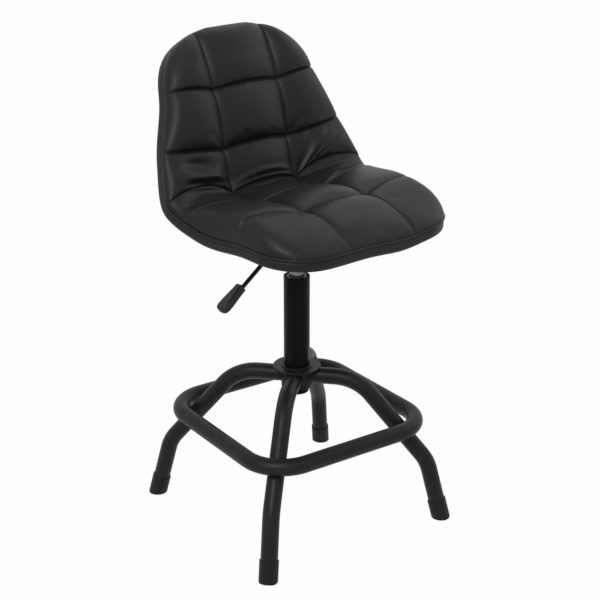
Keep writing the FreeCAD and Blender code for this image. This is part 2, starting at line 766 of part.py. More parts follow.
plate = new_body("seat_plate")
plate_outline = sketch_on(plate, "PlateOutline", "XY_Plane", along=PLATE_BOTTOM)
draw_polygon(plate_outline, [
    ("-Sizes.plate_width / 2", "-Sizes.plate_depth / 2"),
    ("Sizes.plate_width / 2", "-Sizes.plate_depth / 2"),
    ("Sizes.plate_width / 2", "Sizes.plate_depth / 2"),
    ("-Sizes.plate_width / 2", "Sizes.plate_depth / 2"),
])
plate_pad = pad(plate, plate_outline, "Sizes.plate_thickness")
upright = edge_names(plate_pad, lambda edge: edge.BoundBox.ZLength > 1)
plate_round = dress(plate, "Fillet", plate_pad, upright, {"Radius": "Sizes.plate_corner"})
plate_holes = sketch_on(plate, "PlateHoles", "XY_Plane", along=PLATE_TOP)
for i, (side, end) in enumerate([(-1, -1), (1, -1), (1, 1), (-1, 1)]):
    draw_circle(plate_holes, f"bolt{i}", f"{side} * Sizes.bolt_across",
                f"{end} * Sizes.bolt_along", "Sizes.bolt_hole / 2")
pocket(plate, plate_holes)

channel = new_body("mechanism_channel")
channel_section = sketch_on(channel, "ChannelSection", "YZ_Plane")
wide = "Sizes.channel_half_width"
thick = "Sizes.plate_thickness"
draw_polygon(channel_section, [
    (f"-{wide}", PLATE_BOTTOM),
    (f"-{wide}", "Sizes.channel_level"),
    (wide, "Sizes.channel_level"),
    (wide, PLATE_BOTTOM),
    (f"{wide} - {thick}", PLATE_BOTTOM),
    (f"{wide} - {thick}", f"Sizes.channel_level + {thick}"),
    (f"-{wide} + {thick}", f"Sizes.channel_level + {thick}"),
    (f"-{wide} + {thick}", PLATE_BOTTOM),
])
channel_pad = pad(channel, channel_section, "2 * Sizes.channel_half_length", midplane=True)


def channel_fold(edge):
    """The channel's two outer folds, along X at its bottom corners."""
    box = edge.BoundBox
    at_bottom = abs(box.ZMax - size("channel_level")) < 0.01
    at_side = abs(abs(box.YMin) - size("channel_half_width")) < 0.01
    return at_bottom and at_side and box.XLength > 10


dress(channel, "Fillet", channel_pad, edge_names(channel_pad, channel_fold),
      {"Radius": f"{thick} * 0.9"})
socket_hole = sketch_on(channel, "SocketHole", "XY_Plane",
                        along="Sizes.channel_level + Sizes.plate_thickness / 2")
draw_circle(socket_hole, "socket", "0", "0", "Sizes.cylinder_diameter / 2 + Sizes.socket_wall")
pocket(channel, socket_hole, f"{thick} * 2")
pocket_up = sketch_on(channel, "SocketHoleAbove", "XY_Plane",
                      along="Sizes.channel_level + Sizes.plate_thickness / 2")
draw_circle(pocket_up, "socket", "0", "0", "Sizes.cylinder_diameter / 2 + Sizes.socket_wall")
pocket(channel, pocket_up, f"{thick} * 2", up=True)

socket = new_body("cone_socket")
socket_profile = sketch_on(socket, "SocketProfile", "XZ_Plane")
socket_edge = "(Sizes.cylinder_diameter / 2 + Sizes.socket_wall)"
socket_top = "(Sizes.socket_bottom + Sizes.socket_length)"
draw_polygon(socket_profile, [
    (cylinder_radius("Sizes.socket_bottom"), "Sizes.socket_bottom"),
    (socket_edge, "Sizes.socket_bottom"),
    (socket_edge, socket_top),
    (cylinder_radius(socket_top), socket_top),
])
socket_turned = revolve(socket, socket_profile)
socket_rims = edge_names(socket_turned, rim_at(value(socket_edge), size("socket_bottom")))
dress(socket, "Chamfer", socket_turned, socket_rims, {"Size": "1"})

# release lever: a bent rod with a boss on its pivot pin, and a paddle grip

TIP_LEVEL = f"({BUTTON_TOP} + Sizes.lever_gap + Sizes.lever_diameter / 2)"
LEVER_SLOPE = f"(({TIP_LEVEL} - Sizes.lever_grip_level)" \
              " / (Sizes.lever_grip_reach - Sizes.lever_knee_reach))"
PIVOT_LEVEL = f"({TIP_LEVEL} - {LEVER_SLOPE}" \
              " * (Sizes.lever_pivot_reach - Sizes.lever_knee_reach))"

lever = new_body("lever_rod")
lever_path = sketch_on(lever, "LeverPath", "XZ_Plane")
draw_bent_line(lever_path, [
    ("Sizes.lever_tip_reach", TIP_LEVEL),
    ("-Sizes.lever_knee_reach", TIP_LEVEL),
    ("-Sizes.lever_grip_reach", "Sizes.lever_grip_level"),
], ["Sizes.lever_knee_bend"])
lever_section = sketch_on(lever, "LeverSection", "YZ_Plane", along="Sizes.lever_tip_reach")
draw_circle(lever_section, "rod", "0", TIP_LEVEL, "Sizes.lever_diameter / 2")
pipe(lever, lever_section, lever_path)
boss = sketch_on(lever, "LeverBoss", "XZ_Plane")
draw_circle(boss, "boss", "-Sizes.lever_pivot_reach", PIVOT_LEVEL,
            "Sizes.lever_boss_diameter / 2")
pad(lever, boss, "Sizes.lever_boss_width", midplane=True)
pin_hole = sketch_on(lever, "LeverPinHole", "XZ_Plane")
draw_circle(pin_hole, "pin", "-Sizes.lever_pivot_reach", PIVOT_LEVEL,
            "Sizes.lever_pin_diameter / 2 + Sizes.rod_clearance")
pocket(lever, pin_hole)


def make_lug(name, side):
    """A lug standing on the channel's floor beside the lever's boss, with the pin's hole."""
    body = new_body(name)
    outline = sketch_on(body, f"Outline_{name}", "XZ_Plane",
                        along=f"{side} * (Sizes.lug_gap + {thick} / 2)")
    near = "(-Sizes.lever_pivot_reach + Sizes.lug_length / 2)"
    far = "(-Sizes.lever_pivot_reach - Sizes.lug_length / 2 + 1.5)"
    draw_polygon(outline, [
        (far, f"Sizes.channel_level + {thick}"),
        (near, f"Sizes.channel_level + {thick}"),
        (near, "Sizes.lug_top"),
        (far, "Sizes.lug_top"),
    ])
    draw_circle(outline, "pin", "-Sizes.lever_pivot_reach", PIVOT_LEVEL,
                "Sizes.lever_pin_diameter / 2")
    pad(body, outline, thick, midplane=True)
    return body


make_lug("pivot_lug_front", 1)
make_lug("pivot_lug_rear", -1)

pin = new_body("lever_pin")
pin_outline = sketch_on(pin, "PinOutline", "XZ_Plane")
draw_circle(pin_outline, "pin", "-Sizes.lever_pivot_reach", PIVOT_LEVEL,
            "Sizes.lever_pin_diameter / 2")
pad(pin, pin_outline, f"2 * (Sizes.lug_gap + {thick} + 1.5)", midplane=True)
pin_head = sketch_on(pin, "PinHead", "XZ_Plane", along=f"Sizes.lug_gap + {thick}")
draw_circle(pin_head, "head", "-Sizes.lever_pivot_reach", PIVOT_LEVEL,
            "Sizes.lever_pin_head / 2")
pad(pin, pin_head, "1.5")


def make_grip():
    """Tapered paddle on the rod's end: a loft of rounded rectangles square to the rod."""
    run = Vector(size("lever_knee_reach") - size("lever_grip_reach"), 0,
                 size("lever_grip_level") - value(TIP_LEVEL)).normalize()
    root = Vector(-size("lever_grip_reach"), 0, size("lever_grip_level"))
    across = Vector(0, 1, 0)
    up = across.cross(run) * -1
    rod_length = size("grip_overlap")

    def outline(distance, width, height):
        centre = root + run * distance
        corner = min(size("grip_corner"), width * 0.4, height * 0.4)
        half_w, half_h = width / 2, height / 2
        edges = []
        signs = [(1, 1), (-1, 1), (-1, -1), (1, -1)]
        ends = []
        for sx, sy in signs:
            pivot = centre + across * (sx * (half_w - corner)) + up * (sy * (half_h - corner))
            first = across * (sx * corner) if sx * sy > 0 else up * (sy * corner)
            last = up * (sy * corner) if sx * sy > 0 else across * (sx * corner)
            middle = (across * sx + up * sy).normalize() * corner
            ends.append((pivot + first, pivot + middle, pivot + last))
        for i, (start, middle, end) in enumerate(ends):
            edges.append(Part.Arc(start, middle, end).toShape())
            edges.append(Part.makeLine(end, ends[(i + 1) % 4][0]))
        return Part.Wire(edges)

    length = size("grip_length") - rod_length
    neck = (size("grip_neck_width"), size("grip_neck_height"))
    tail = (size("grip_end_width"), size("grip_end_height"))
    bevel = size("grip_bevel")
    stations = [
        (-rod_length, neck[0], neck[1]),
        (length - bevel, tail[0], tail[1]),
        (length, tail[0] - 2 * bevel, tail[1] - 2 * bevel),
    ]
    solid = Part.makeLoft([outline(*station) for station in stations], True, True)
    bore = Part.makeCylinder(size("lever_diameter") / 2, rod_length + 1,
                             root - run * (rod_length + 1), run)
    return solid.cut(bore)


grip = piece(doc.addObject("Part::Feature", "lever_grip"), "lever_grip")
grip.Shape = make_grip()

# seat: stations along the quilt, each a section across the seat

SEAMS = ["nose", "thigh", "hip", "fold", "waist", "blade", "top"]
PANELS = ["front", "middle", "rear", "lumbar", "back", "head"]


def blend(first, last, share):
    return first + (last - first) * share


def end_rounding(distance, corner, power):
    """How far the outline has drawn in at a distance from its end: 1 at the full width."""
    if distance >= corner:
        return 1.0
    return (1 - (1 - distance / corner) ** power) ** (1 / power)


def floor_level(seam, point, tilt):
    """Depth of the cover's flat underside below the quilt at one seam."""
    if seam in ("nose", "thigh", "hip"):
        return (size("pan_level") - point.z) / math.cos(math.radians(tilt))
    return -size(f"{seam}_depth")


def make_stations():
    """Walk along the six panels and describe the section at each seam and between seams."""
    point = Vector(0, size("quilt_start_y"), size("quilt_start_z"))
    seam_points = [point]
    for panel in PANELS:
        slope = math.radians(size(f"{panel}_slope"))
        point = point + Vector(0, math.cos(slope), math.sin(slope)) * size(f"{panel}_length")
        seam_points.append(point)
    total = sum(size(f"{panel}_length") for panel in PANELS)
    shares = {"front": (0, 0.06, 0.2, 0.55), "head": (0, 0.5, 0.8, 0.93)}
    stations = []
    walked = 0
    for i, panel in enumerate(PANELS):
        length = size(f"{panel}_length")
        crown = size(f"{panel}_crown")
        first, last = SEAMS[i], SEAMS[i + 1]
        floors = [floor_level(seam, seam_points[i + k], size(f"{seam}_tilt"))
                  for k, seam in enumerate((first, last))]
        for share in shares.get(panel, (0, 0.5)):
            place = seam_points[i] + (seam_points[i + 1] - seam_points[i]) * share
            swell = math.sin(math.pi * share) ** 0.8
            if panel == "front" and share < 0.5:
                swell = (1 - (1 - 2 * share) ** 4) ** 0.25
            if panel == "head" and share > 0.5:
                swell = (1 - (2 * share - 1) ** 4) ** 0.25
            stations.append({
                "place": place,
                "tilt": math.radians(blend(size(f"{first}_tilt"), size(f"{last}_tilt"), share)),
                "width": blend(size(f"{first}_half_width"), size(f"{last}_half_width"), share),
                "rim": blend(size(f"{first}_rim"), size(f"{last}_rim"), share),
                "floor": blend(floors[0], floors[1], share),
                "crown": 3 + (crown - 3) * swell,
                "walked": walked + share * length,
            })
        walked += length
    stations.append({
        "place": seam_points[-1],
        "tilt": math.radians(size("top_tilt")),
        "width": size("top_half_width"),
        "rim": size("top_rim"),
        "floor": -size("top_depth"),
        "crown": 3,
        "walked": total,
    })
    nose, top = size("nose_corner"), size("top_corner")
    for station in stations:
        start = station["walked"]
        finish = total - station["walked"] + 7
        drawn_in = nose - math.sqrt(nose ** 2 - max(0, nose - start) ** 2)
        station["width"] -= drawn_in
        station["width"] *= end_rounding(finish, top, 2)
    return stations


STATIONS = make_stations()


def at(station, across, level):
    """A point of one section: across the seat, and up from the quilt's seam line."""
    place, tilt = station["place"], station["tilt"]
    return Vector(across, place.y - level * math.sin(tilt), place.z + level * math.cos(tilt))


def arc(station, start, end, bulge):
    """A shallow arc between two points of a section, bowed up by a bulge at its middle."""
    chord = math.dist(start, end)
    normal = ((start[1] - end[1]) / chord, (end[0] - start[0]) / chord)
    middle = ((start[0] + end[0]) / 2 + normal[0] * bulge,
              (start[1] + end[1]) / 2 + normal[1] * bulge)
    return Part.Arc(at(station, *start), at(station, *middle), at(station, *end)).toShape()


def line(station, start, end):
    return Part.makeLine(at(station, *start), at(station, *end))


def underside(station, inset, rise):
    """Corners of a surface that follows the cover's underside, from +X to -X."""
    edge = station["width"] - inset
    flat = min(size("flat_half_width"), edge * 0.6)
    rim_level = station["rim"] - size("band_height") + rise
    centre_level = station["floor"] + rise
    return [(edge, rim_level), (flat, centre_level), (-flat, centre_level), (-edge, rim_level)]


def quilt_section(station):
    """Cushion section: three crowned panels between two channels, rolled down to the rim."""
    width, rim, crown = station["width"], station["rim"], station["crown"]
    channel = min(size("channel_offset"), width - 13)
    shoulder = min(size("shoulder_width"), (width - channel) * 0.45)
    height = size("shoulder_height") + 0.95 * max(0, -rim)
    height = min(height, 0.6 * crown + 3 if width < 150 else height)
    dip = size("seam_dip") * (crown - 3)
    left, right = (-width + shoulder, rim + height), (width - shoulder, rim + height)
    inner = width - size("cover_thickness") - 4 * size("soft_clearance")
    rise = size("cover_thickness") + size("shell_thickness") + 3 * size("soft_clearance")
    corners = underside(station, size("cover_thickness") + size("soft_clearance"), rise)
    lip = rim + 2 * size("soft_clearance")
    roll = 0.22 * math.dist((width, lip), right)
    bulge = crown - dip
    edges = [
        arc(station, (-width, lip), left, roll),
        arc(station, left, (-channel, dip), bulge),
        arc(station, (-channel, dip), (channel, dip), bulge),
        arc(station, (channel, dip), right, bulge),
        arc(station, right, (width, lip), roll),
        line(station, (width, lip), (inner, lip)),
        line(station, (inner, lip), corners[0]),
        line(station, corners[0], corners[1]),
        line(station, corners[1], corners[2]),
        line(station, corners[2], corners[3]),
        line(station, corners[3], (-inner, lip)),
        line(station, (-inner, lip), (-width, lip)),
    ]
    return Part.Wire(edges)


def shell_section(station):
    """Bent board section: an even thickness over the cover's underside."""
    inset = size("cover_thickness") + size("soft_clearance")
    low = size("cover_thickness") + size("soft_clearance")
    lower = underside(station, inset, low)
    upper = underside(station, inset, low + size("shell_thickness"))
    ring_points = lower + upper[::-1]
    return Part.makePolygon([at(station, *p) for p in ring_points + ring_points[:1]])


def cover_section(station):
    """Outside of the under cover: its border band, rounded under, and its underside."""
    width, rim = station["width"], station["rim"]
    curl = min(size("band_round"), 0.2 * width)
    corners = underside(station, 0, 0)
    low = corners[0][1]
    edges = [
        line(station, (-width, rim), (width, rim)),
        line(station, (width, rim), (width, low + curl)),
        arc(station, (width, low + curl), (width - curl, low), curl * 0.41),
        line(station, (width - curl, low), corners[1]),
        line(station, corners[1], corners[2]),
        line(station, corners[2], (-width + curl, low)),
        arc(station, (-width + curl, low), (-width, low + curl), curl * 0.41),
        line(station, (-width, low + curl), (-width, rim)),
    ]
    return Part.Wire(edges)


def hollow_section(station):
    """Inside of the under cover, open above its rim."""
    corners = underside(station, size("cover_thickness"), size("cover_thickness"))
    edge = corners[0][0]
    top = station["rim"] + 60
    ring_points = [(-edge, top), (edge, top)] + corners
    return Part.makePolygon([at(station, *p) for p in ring_points + ring_points[:1]])


def loft(section):
    """A smooth solid through one kind of section at every station."""
    return Part.makeLoft([section(station) for station in STATIONS], True, False)


def end_block(station, inwards, keep_above, reach, gap):
    """Block over one end of the seat, a gap deeper than the cover's thickness, up to a level."""
    direction = Vector(0, math.cos(station["tilt"]), math.sin(station["tilt"])) * inwards
    level = Vector(0, -math.sin(station["tilt"]), math.cos(station["tilt"]))
    start = station["place"] - direction * 20 + level * keep_above
    depth = 20 + size("cover_thickness") + gap
    corners = [start + Vector(-reach, 0, 0), start + Vector(reach, 0, 0)]
    corners += [corners[1] + direction * depth, corners[0] + direction * depth]
    face = Part.Face(Part.makePolygon(corners + corners[:1]))
    return face.extrude(level * -120)


def trimmed(solid, above_rim=60, gap=1):
    """Cut a piece back at both ends, to lie inside the cover's end walls."""
    first, last = STATIONS[0], STATIONS[-1]
    blocks = [end_block(first, 1, first["rim"] + above_rim, 150, gap * size("soft_clearance")),
              end_block(last, -1, last["rim"] + above_rim, 150, gap * size("soft_clearance"))]
    return solid.cut(blocks)


def bolt_places():
    return [Vector(i * size("bolt_across"), j * size("bolt_along"), 0)
            for i, j in ((-1, -1), (1, -1), (1, 1), (-1, 1))]


def drill(solid, diameter, bottom, top):
    """Round holes through a piece at the four bolts."""
    tools = [Part.makeCylinder(diameter / 2, top - bottom, place + Vector(0, 0, bottom))
             for place in bolt_places()]
    return solid.cut(tools)


SHELL_TOP = size("pan_level") + size("cover_thickness") + size("soft_clearance") \
            + size("shell_thickness")

cushion = piece(doc.addObject("Part::Feature", "seat_cushion"), "seat_cushion")
cushion.Shape = trimmed(loft(quilt_section), 2 * size("soft_clearance"), gap=3)

shell = trimmed(loft(shell_section), gap=2)
shell = drill(shell, size("tee_barrel"), size("pan_level"), SHELL_TOP + 4)
shell = drill(shell, size("tee_flange"), SHELL_TOP - size("tee_flange_thickness"), SHELL_TOP + 4)
seat_shell = piece(doc.addObject("Part::Feature", "seat_shell"), "seat_shell")
seat_shell.Shape = shell

cover = loft(cover_section).cut(trimmed(loft(hollow_section)))
landing = Part.makeBox(size("plate_width") + 8, size("plate_depth") + 8, 30)
landing.translate(Vector(-size("plate_width") / 2 - 4, -size("plate_depth") / 2 - 4,
                         size("pan_level") - 30))
cover = drill(cover.cut(landing), size("tee_barrel") + 1, size("pan_level") - 10, SHELL_TOP)
under_cover = piece(doc.addObject("Part::Feature", "under_cover"), "under_cover")
under_cover.Shape = cover


def at_bolts(shape):
    """Copies of a shape at the four bolts, as one group."""
    copies = []
    for place in bolt_places():
        copy = shape.copy()
        copy.translate(place)
        copies.append(copy)
    return Part.makeCompound(copies)


def hexagon(across_flats, bottom, height):
    radius = across_flats / math.sqrt(3)
    corners = [Vector(radius * math.cos(math.radians(60 * k)),
                      radius * math.sin(math.radians(60 * k)), bottom) for k in range(7)]
    return Part.Face(Part.makePolygon(corners)).extrude(Vector(0, 0, height))


def make_bolts():
    """Hexagon head under its washer, with a plain shank up into the tee nut."""
    head_top = value(PLATE_BOTTOM) - size("bolt_washer_thickness")
    head = hexagon(size("bolt_head"), head_top - size("bolt_head_height"),
                   size("bolt_head_height"))
    shank = Part.makeCylinder(size("bolt_diameter") / 2, size("bolt_grip"),
                              Vector(0, 0, head_top))
    return at_bolts(head.fuse(shank).removeSplitter())


def make_washers():
    top = value(PLATE_BOTTOM)
    start = Vector(0, 0, top - size("bolt_washer_thickness"))
    disc = Part.makeCylinder(size("bolt_washer") / 2, size("bolt_washer_thickness"), start)
    hole = Part.makeCylinder(size("bolt_diameter") / 2, size("bolt_washer_thickness"), start)
    return at_bolts(disc.cut(hole))


def make_tee_nuts():
    """Flange let into the board's top, barrel down through it, bored for the bolt."""
    flange_start = SHELL_TOP - size("tee_flange_thickness")
    flange = Part.makeCylinder(size("tee_flange") / 2, size("tee_flange_thickness"),
                               Vector(0, 0, flange_start))
    barrel = Part.makeCylinder(size("tee_barrel") / 2, size("tee_depth"),
                               Vector(0, 0, flange_start - size("tee_depth")))
    bore = Part.makeCylinder(size("bolt_diameter") / 2, 40, Vector(0, 0, flange_start - 20))
    return at_bolts(flange.fuse(barrel).cut(bore).removeSplitter())


for name, make in (("plate_bolts", make_bolts), ("bolt_washers", make_washers),
                   ("tee_nuts", make_tee_nuts)):
    group = piece(doc.addObject("Part::Feature", name), name)
    group.Shape = make()

# check the document and write one file for each sub-part

doc.recompute()
for item in doc.Objects:
    faults = {"Invalid", "Error"} & set(item.State)
    if faults:
        raise RuntimeError(f"{item.Label}: {faults}")
for item in pieces:
    if item.Shape.isNull() or not item.Shape.isValid() or not item.Shape.Solids:
        raise RuntimeError(f"{item.Label}: no valid shape")
    print(f"{item.Label}: {len(item.Shape.Solids)} solid, {item.Shape.Volume / 1000:.1f} cm3")
os.makedirs("parts", exist_ok=True)
for item in pieces:
    item.Shape.exportStep(f"parts/{item.Label}.step")
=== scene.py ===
"""A machinist stool dressed for a studio picture.

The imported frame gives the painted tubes, the gas lift and the mechanism. This file adds the
upholstery, which is a quilted bucket cushion with its piping, stitches and under cover, the
lever's paddle grip, the crimped lip of the column, the finishes, and a plain stage.
All lengths are metres, unless a name ends in _mm.
"""

import math

import bmesh
import bpy
import numpy as np
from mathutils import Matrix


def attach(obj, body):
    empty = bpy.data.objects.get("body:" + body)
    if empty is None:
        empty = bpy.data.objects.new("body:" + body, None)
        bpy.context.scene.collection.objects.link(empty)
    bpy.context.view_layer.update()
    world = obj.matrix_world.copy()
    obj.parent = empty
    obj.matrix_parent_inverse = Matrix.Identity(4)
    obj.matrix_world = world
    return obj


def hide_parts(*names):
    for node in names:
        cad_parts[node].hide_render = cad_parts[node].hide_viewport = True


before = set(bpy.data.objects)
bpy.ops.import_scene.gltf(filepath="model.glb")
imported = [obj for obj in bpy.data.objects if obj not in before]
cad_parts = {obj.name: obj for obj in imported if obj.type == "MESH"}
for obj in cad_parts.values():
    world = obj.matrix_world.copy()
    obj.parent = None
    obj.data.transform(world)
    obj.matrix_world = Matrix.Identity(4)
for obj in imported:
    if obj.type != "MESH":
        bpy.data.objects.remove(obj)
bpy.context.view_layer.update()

bl_info = {
    "name": "Machinist stool",
    "version": (1, 0, 0),
    "blender": (4, 5, 0),
    "location": "3D View > Sidebar > Stool",
    "description": "Quilted seat, painted frame, gas lift and stage of a machinist stool",
    "category": "Object",
}

MM = 0.001

# grids of the seat: columns in a side panel and in the middle one, rows in each row of panels
FACE_GRID = (34, 57, (58, 54, 36, 40, 50, 56))
COVER_GRID = (30, 25, (34, 26, 18, 20, 26, 34))
CLOTH_GRID = (24, 31, (26, 24, 15, 17, 22, 25))
PLACES = ("rear_left", "rear_right", "front_right", "front_left")

# the seat
RIM_LIP = 0.6 * MM
GROOVE_DROP = 4.6 * MM  # from the rim down to the sewn groove of the band
TOP_POWER = 2.5  # of the superellipse that rounds the head
ROLL_POWERS = (2.5, 2.1)  # of the roll from the face down to the rim
SIDE_SHARE = 0.6  # of an outer panel, over which it rises to the side roll
BACK_LEAN = 0.74  # power that moves the pillows of the back up their panels
FOLD_FADE = 0.04  # over which the folds begin at the rim
SAG_PLACE, SAG_REACH = 0.052, 0.06  # across the nose
NOSE_CORNER, TOP_CORNER = 0.028, 0.030  # of the grid, from the nose and from the top
FOAM = 14.0 * MM  # between the underside and the cushion's lower face
FOAM_FILLET = 0.0045  # over which that face comes up to the rim
COVER_CURL = 5 * MM
COVER_THICKNESS = 2.2 * MM
UNDER_FLAT = 0.105  # half width of the flat middle of the underside
UNDER_BACK_MM = (-48.0, -38.0, -40.0, -36.0)  # its level at the fold, waist, blade and top
STITCH_RADIUS = 0.00042
# the dent left of the lumbar, in mm: across, above the fold, both reaches, its slope and depth
DENT_ACROSS, DENT_ABOVE, DENT_REACH, DENT_SLOPE, DENT_DEPTH = -150, 62, (38, 14), 0.12, 13.0

# the cloth run
CLOTH_FRAMES = 24
CLOTH_CAP = 8 * MM
CLOTH = {"quality": 6, "mass": 0.35, "tension_stiffness": 30.0, "compression_stiffness": 12.0,
         "shear_stiffness": 8.0, "bending_stiffness": 4.0, "air_damping": 4.0,
         "vertex_group_mass": "stitched", "shrink_min": -0.006, "use_pressure": True,
         "uniform_pressure_force": 4.0}

# the stage: name, place, target, size and power of each lamp
LAMPS = (("key", (-2.2, -1.2, 2.6), (0, 0, 0.6), 1.4, 60.0),
         ("fill", (2.4, -0.8, 2.1), (0, 0, 0.5), 2.2, 12.0),
         ("top", (0.9, 0.6, 3.0), (0, 0, 0.6), 1.4, 9.0))
FLOOR_REACH = 14.0
FLOOR_GLOW = 0.97  # share of the floor that is plain white to the camera


# settings


def number(name, about, default, **kind):
    return bpy.props.FloatProperty(name=name, description=about, default=default, **kind)


def metres(name, about, default):
    return number(name, about, default, unit="LENGTH")


def degrees(name, about, default):
    return number(name, about, math.radians(default), subtype="ANGLE")


def several(name, about, *default, **kind):
    return bpy.props.FloatVectorProperty(name=name, description=about, size=len(default),
                                         default=default, **kind)


def point(name, about, *default):
    return several(name, about, *default, subtype="XYZ", unit="LENGTH")


def paint(name, about, *default):
    return several(name, about, *default, subtype="COLOR", min=0.0, max=1.0)


class StoolSeatSettings(bpy.types.PropertyGroup):
    """Shape of the seat at its seven seams, nose, thigh, hip, fold, waist, blade and top."""

    seam_y_mm: several("Seam place", "How far back each seam lies, in mm",
                       -225.1, -102.0, 14.7, 87.7, 112.6, 140.2, 194.5)
    seam_z_mm: several("Seam height", "Height of each seam, in mm",
                       608.9, 650.6, 641.7, 647.5, 723.7, 831.1, 936.4)
    tilt_deg: several("Section tilt", "How far the section leans back at each seam",
                      0.0, 2.0, 4.0, 38.0, 73.0, 68.0, 60.0)
    half_width_mm: several("Half width", "Half width of the seat at each seam, in mm",
                           213.0, 214.2, 226.0, 237.2, 218.7, 178.3, 159.8)
    rim_mm: several("Rim level", "Level of the rim against the quilt, in mm",
                    1.5, -32.4, -19.3, 9.3, -2.4, -18.0, -15.6)
    side_lift_mm: several("Side lift", "Rise of the outer panels at each seam, in mm",
                          10.0, 15.0, 20.0, 18.0, 7.0, 7.0, 5.0)
    side_swell_mm: several("Side swell", "How far the side rolls stand past the rim, in mm",
                           4.3, 4.3, 4.7, 1.0, 3.0, 0.0, 0.0)
    cross_rise_mm: several("Cross rise", "Rise of each cross seam between its tufts, in mm",
                           6.0, 9.0, 12.0, 10.0, 3.0, 2.5, 4.0)
    long_rise_mm: several("Long rise", "Rise of the lengthwise seams in each row, in mm",
                          19.0, 7.0, 2.5, 1.5, 1.5, 2.0)
    crown_mm: several("Crown", "Height of the padding over its seams in each row, in mm",
                      4.0, 5.0, -3.5, 11.0, 17.0, 14.0)
    seam_bow_mm: several("Seam bow", "How far each cross seam curves up at the sides, in mm",
                         0.0, 15.0, 12.0, -3.0, 17.0, 10.0, 0.0)
    seam_arch_mm: several("Seam arch", "Arch of each cross seam in the outer panels, in mm",
                          0.0, 4.0, 3.0, 19.0, 4.0, 4.0, 0.0)
    middle_arch_mm: several("Middle arch", "Arch of each cross seam between tufts, in mm",
                            0.0, 0.0, 0.0, 4.0, 7.0, 4.0, 0.0)
    nose_sag: metres("Nose sag", "How far the worn nose hangs right of its middle", 0.007)
    channel: metres("Channel", "Distance of the lengthwise seams from the middle", 0.077)
    nose_corner: metres("Nose corner", "Radius of the front corners", 0.0956)
    top_corner: metres("Top corner", "Reach of the rounding at the top", 0.1132)
    roll: metres("Roll", "Width over which the padding rolls down to its rim", 0.044)
    band: metres("Band", "Height of the border band", 0.0212)
    seam_depth: metres("Seam depth", "How deep the stitched seams sink", 0.003)
    seam_width: metres("Seam width", "Half width of the sunk line of a seam", 0.0021)
    pan_level: metres("Pan level", "Height of the flat underside", 0.588)
    piping: metres("Piping", "Radius of the piping round the rim", 0.0019)
    stitch_pitch: metres("Stitch pitch", "Length of one stitch and its gap", 0.0052)


class StoolTrimSettings(bpy.types.PropertyGroup):
    """Sizes of the lever grip and of the crimped lip of the column."""

    root: point("Grip root", "Where the grip begins on the lever", -0.1328, 0.003, 0.4978)
    slope: degrees("Grip slope", "How far the lever falls", 34.89)
    roll: degrees("Grip roll", "Turn of the paddle about the lever", -6.0)
    length: metres("Grip length", "Length of the grip", 0.062)
    neck: metres("Neck", "Width of the grip at its neck", 0.0165)
    width: metres("Grip width", "Width of the paddle", 0.0272)
    height: metres("Grip height", "Thickness of the paddle", 0.0152)
    column_radius: metres("Column radius", "Outer radius of the column", 0.025)
    column_top: metres("Column top", "Height of the column's mouth", 0.488)
    crimps: bpy.props.IntProperty(
        name="Crimps", description="How many teeth the crimped lip has", default=26)


class StoolFinishSettings(bpy.types.PropertyGroup):
    """Colours of the finishes."""

    leather: paint("Leather", "Colour of the upholstery", 0.0088, 0.0088, 0.0091)
    powder_coat: paint("Powder coat", "Colour of the tubes and the plate",
                       0.012, 0.012, 0.0123)
    enamel: paint("Enamel", "Colour of the outer column", 0.003, 0.003, 0.0032)
    steel: paint("Steel", "Colour of the ground steel", 0.2, 0.203, 0.21)
    rubber: paint("Rubber", "Colour of the feet", 0.0042, 0.0042, 0.0044)


class StoolStageSettings(bpy.types.PropertyGroup):
    """Camera and light of the picture."""

    eye: point("Camera", "Place of the camera", -1.6256, -1.8070, 1.3769)
    pitch: degrees("Pitch", "Camera pitch, upright is 90 degrees", 68.88)
    turn: degrees("Turn", "Camera turn about the vertical", -42.12)
    lens: number("Lens", "Focal length on a 36 mm sensor, in mm", 82.39)
    floor: paint("Floor", "Colour of the floor", 0.86, 0.86, 0.86)
    world: number("World", "Strength of the light from all round", 0.3)


# shader maths


def maths_operator(operation, swapped=False):
    """A Python operator that adds a Math node. Its right-hand form swaps the terms."""
    def run(self, other):
        return self.maths(operation, *((other, self) if swapped else (self, other)))
    return run


class Wire:
    """A socket in a shader. Python operators add the Math nodes."""

    __add__, __radd__ = maths_operator("ADD"), maths_operator("ADD", True)
    __sub__, __rsub__ = maths_operator("SUBTRACT"), maths_operator("SUBTRACT", True)
    __mul__ = maths_operator("MULTIPLY")

    def __init__(self, tree, socket):
        self.tree, self.socket = tree, socket

    def node(self, kind, settings=None, out=0, **inputs):
        """Any node: its settings are set first, then the values or links of its sockets."""
        made = self.tree.nodes.new(kind)
        for key, setting in (settings or {}).items():
            setattr(made, key, setting)
        for key, given in inputs.items():
            entry = made.inputs[int(key[1:]) if key[0] == "_" else key.replace("_", " ")]
            if isinstance(given, Wire):
                self.tree.links.new(given.socket, entry)
            else:
                entry.default_value = given
        return Wire(self.tree, made.outputs[out])

    def maths(self, operation, *terms):
        return self.node("ShaderNodeMath", {"operation": operation},
                         **{f"_{k}": term for k, term in enumerate(terms)})

    def ramp(self, low, high):
        """0 below low, 1 above high and smooth between."""
        return self.node("ShaderNodeMapRange", {"interpolation_type": "SMOOTHSTEP"},
                         Value=self, From_Min=low, From_Max=high)

    def tint(self, first, last):
        """Colour mixed from first to last by this value."""
        return self.node("ShaderNodeMix", {"data_type": "RGBA"}, out=2, _0=self, _6=first,
                         _7=last)

    def shades(self, colour, first, last):
        """Colour from a darker to a paler shade by this value."""
        return self.tint(rgba(colour, first), rgba(colour, last))

    def bump(self, strength, distance):
        return self.node("ShaderNodeBump", Height=self, Strength=strength, Distance=distance)


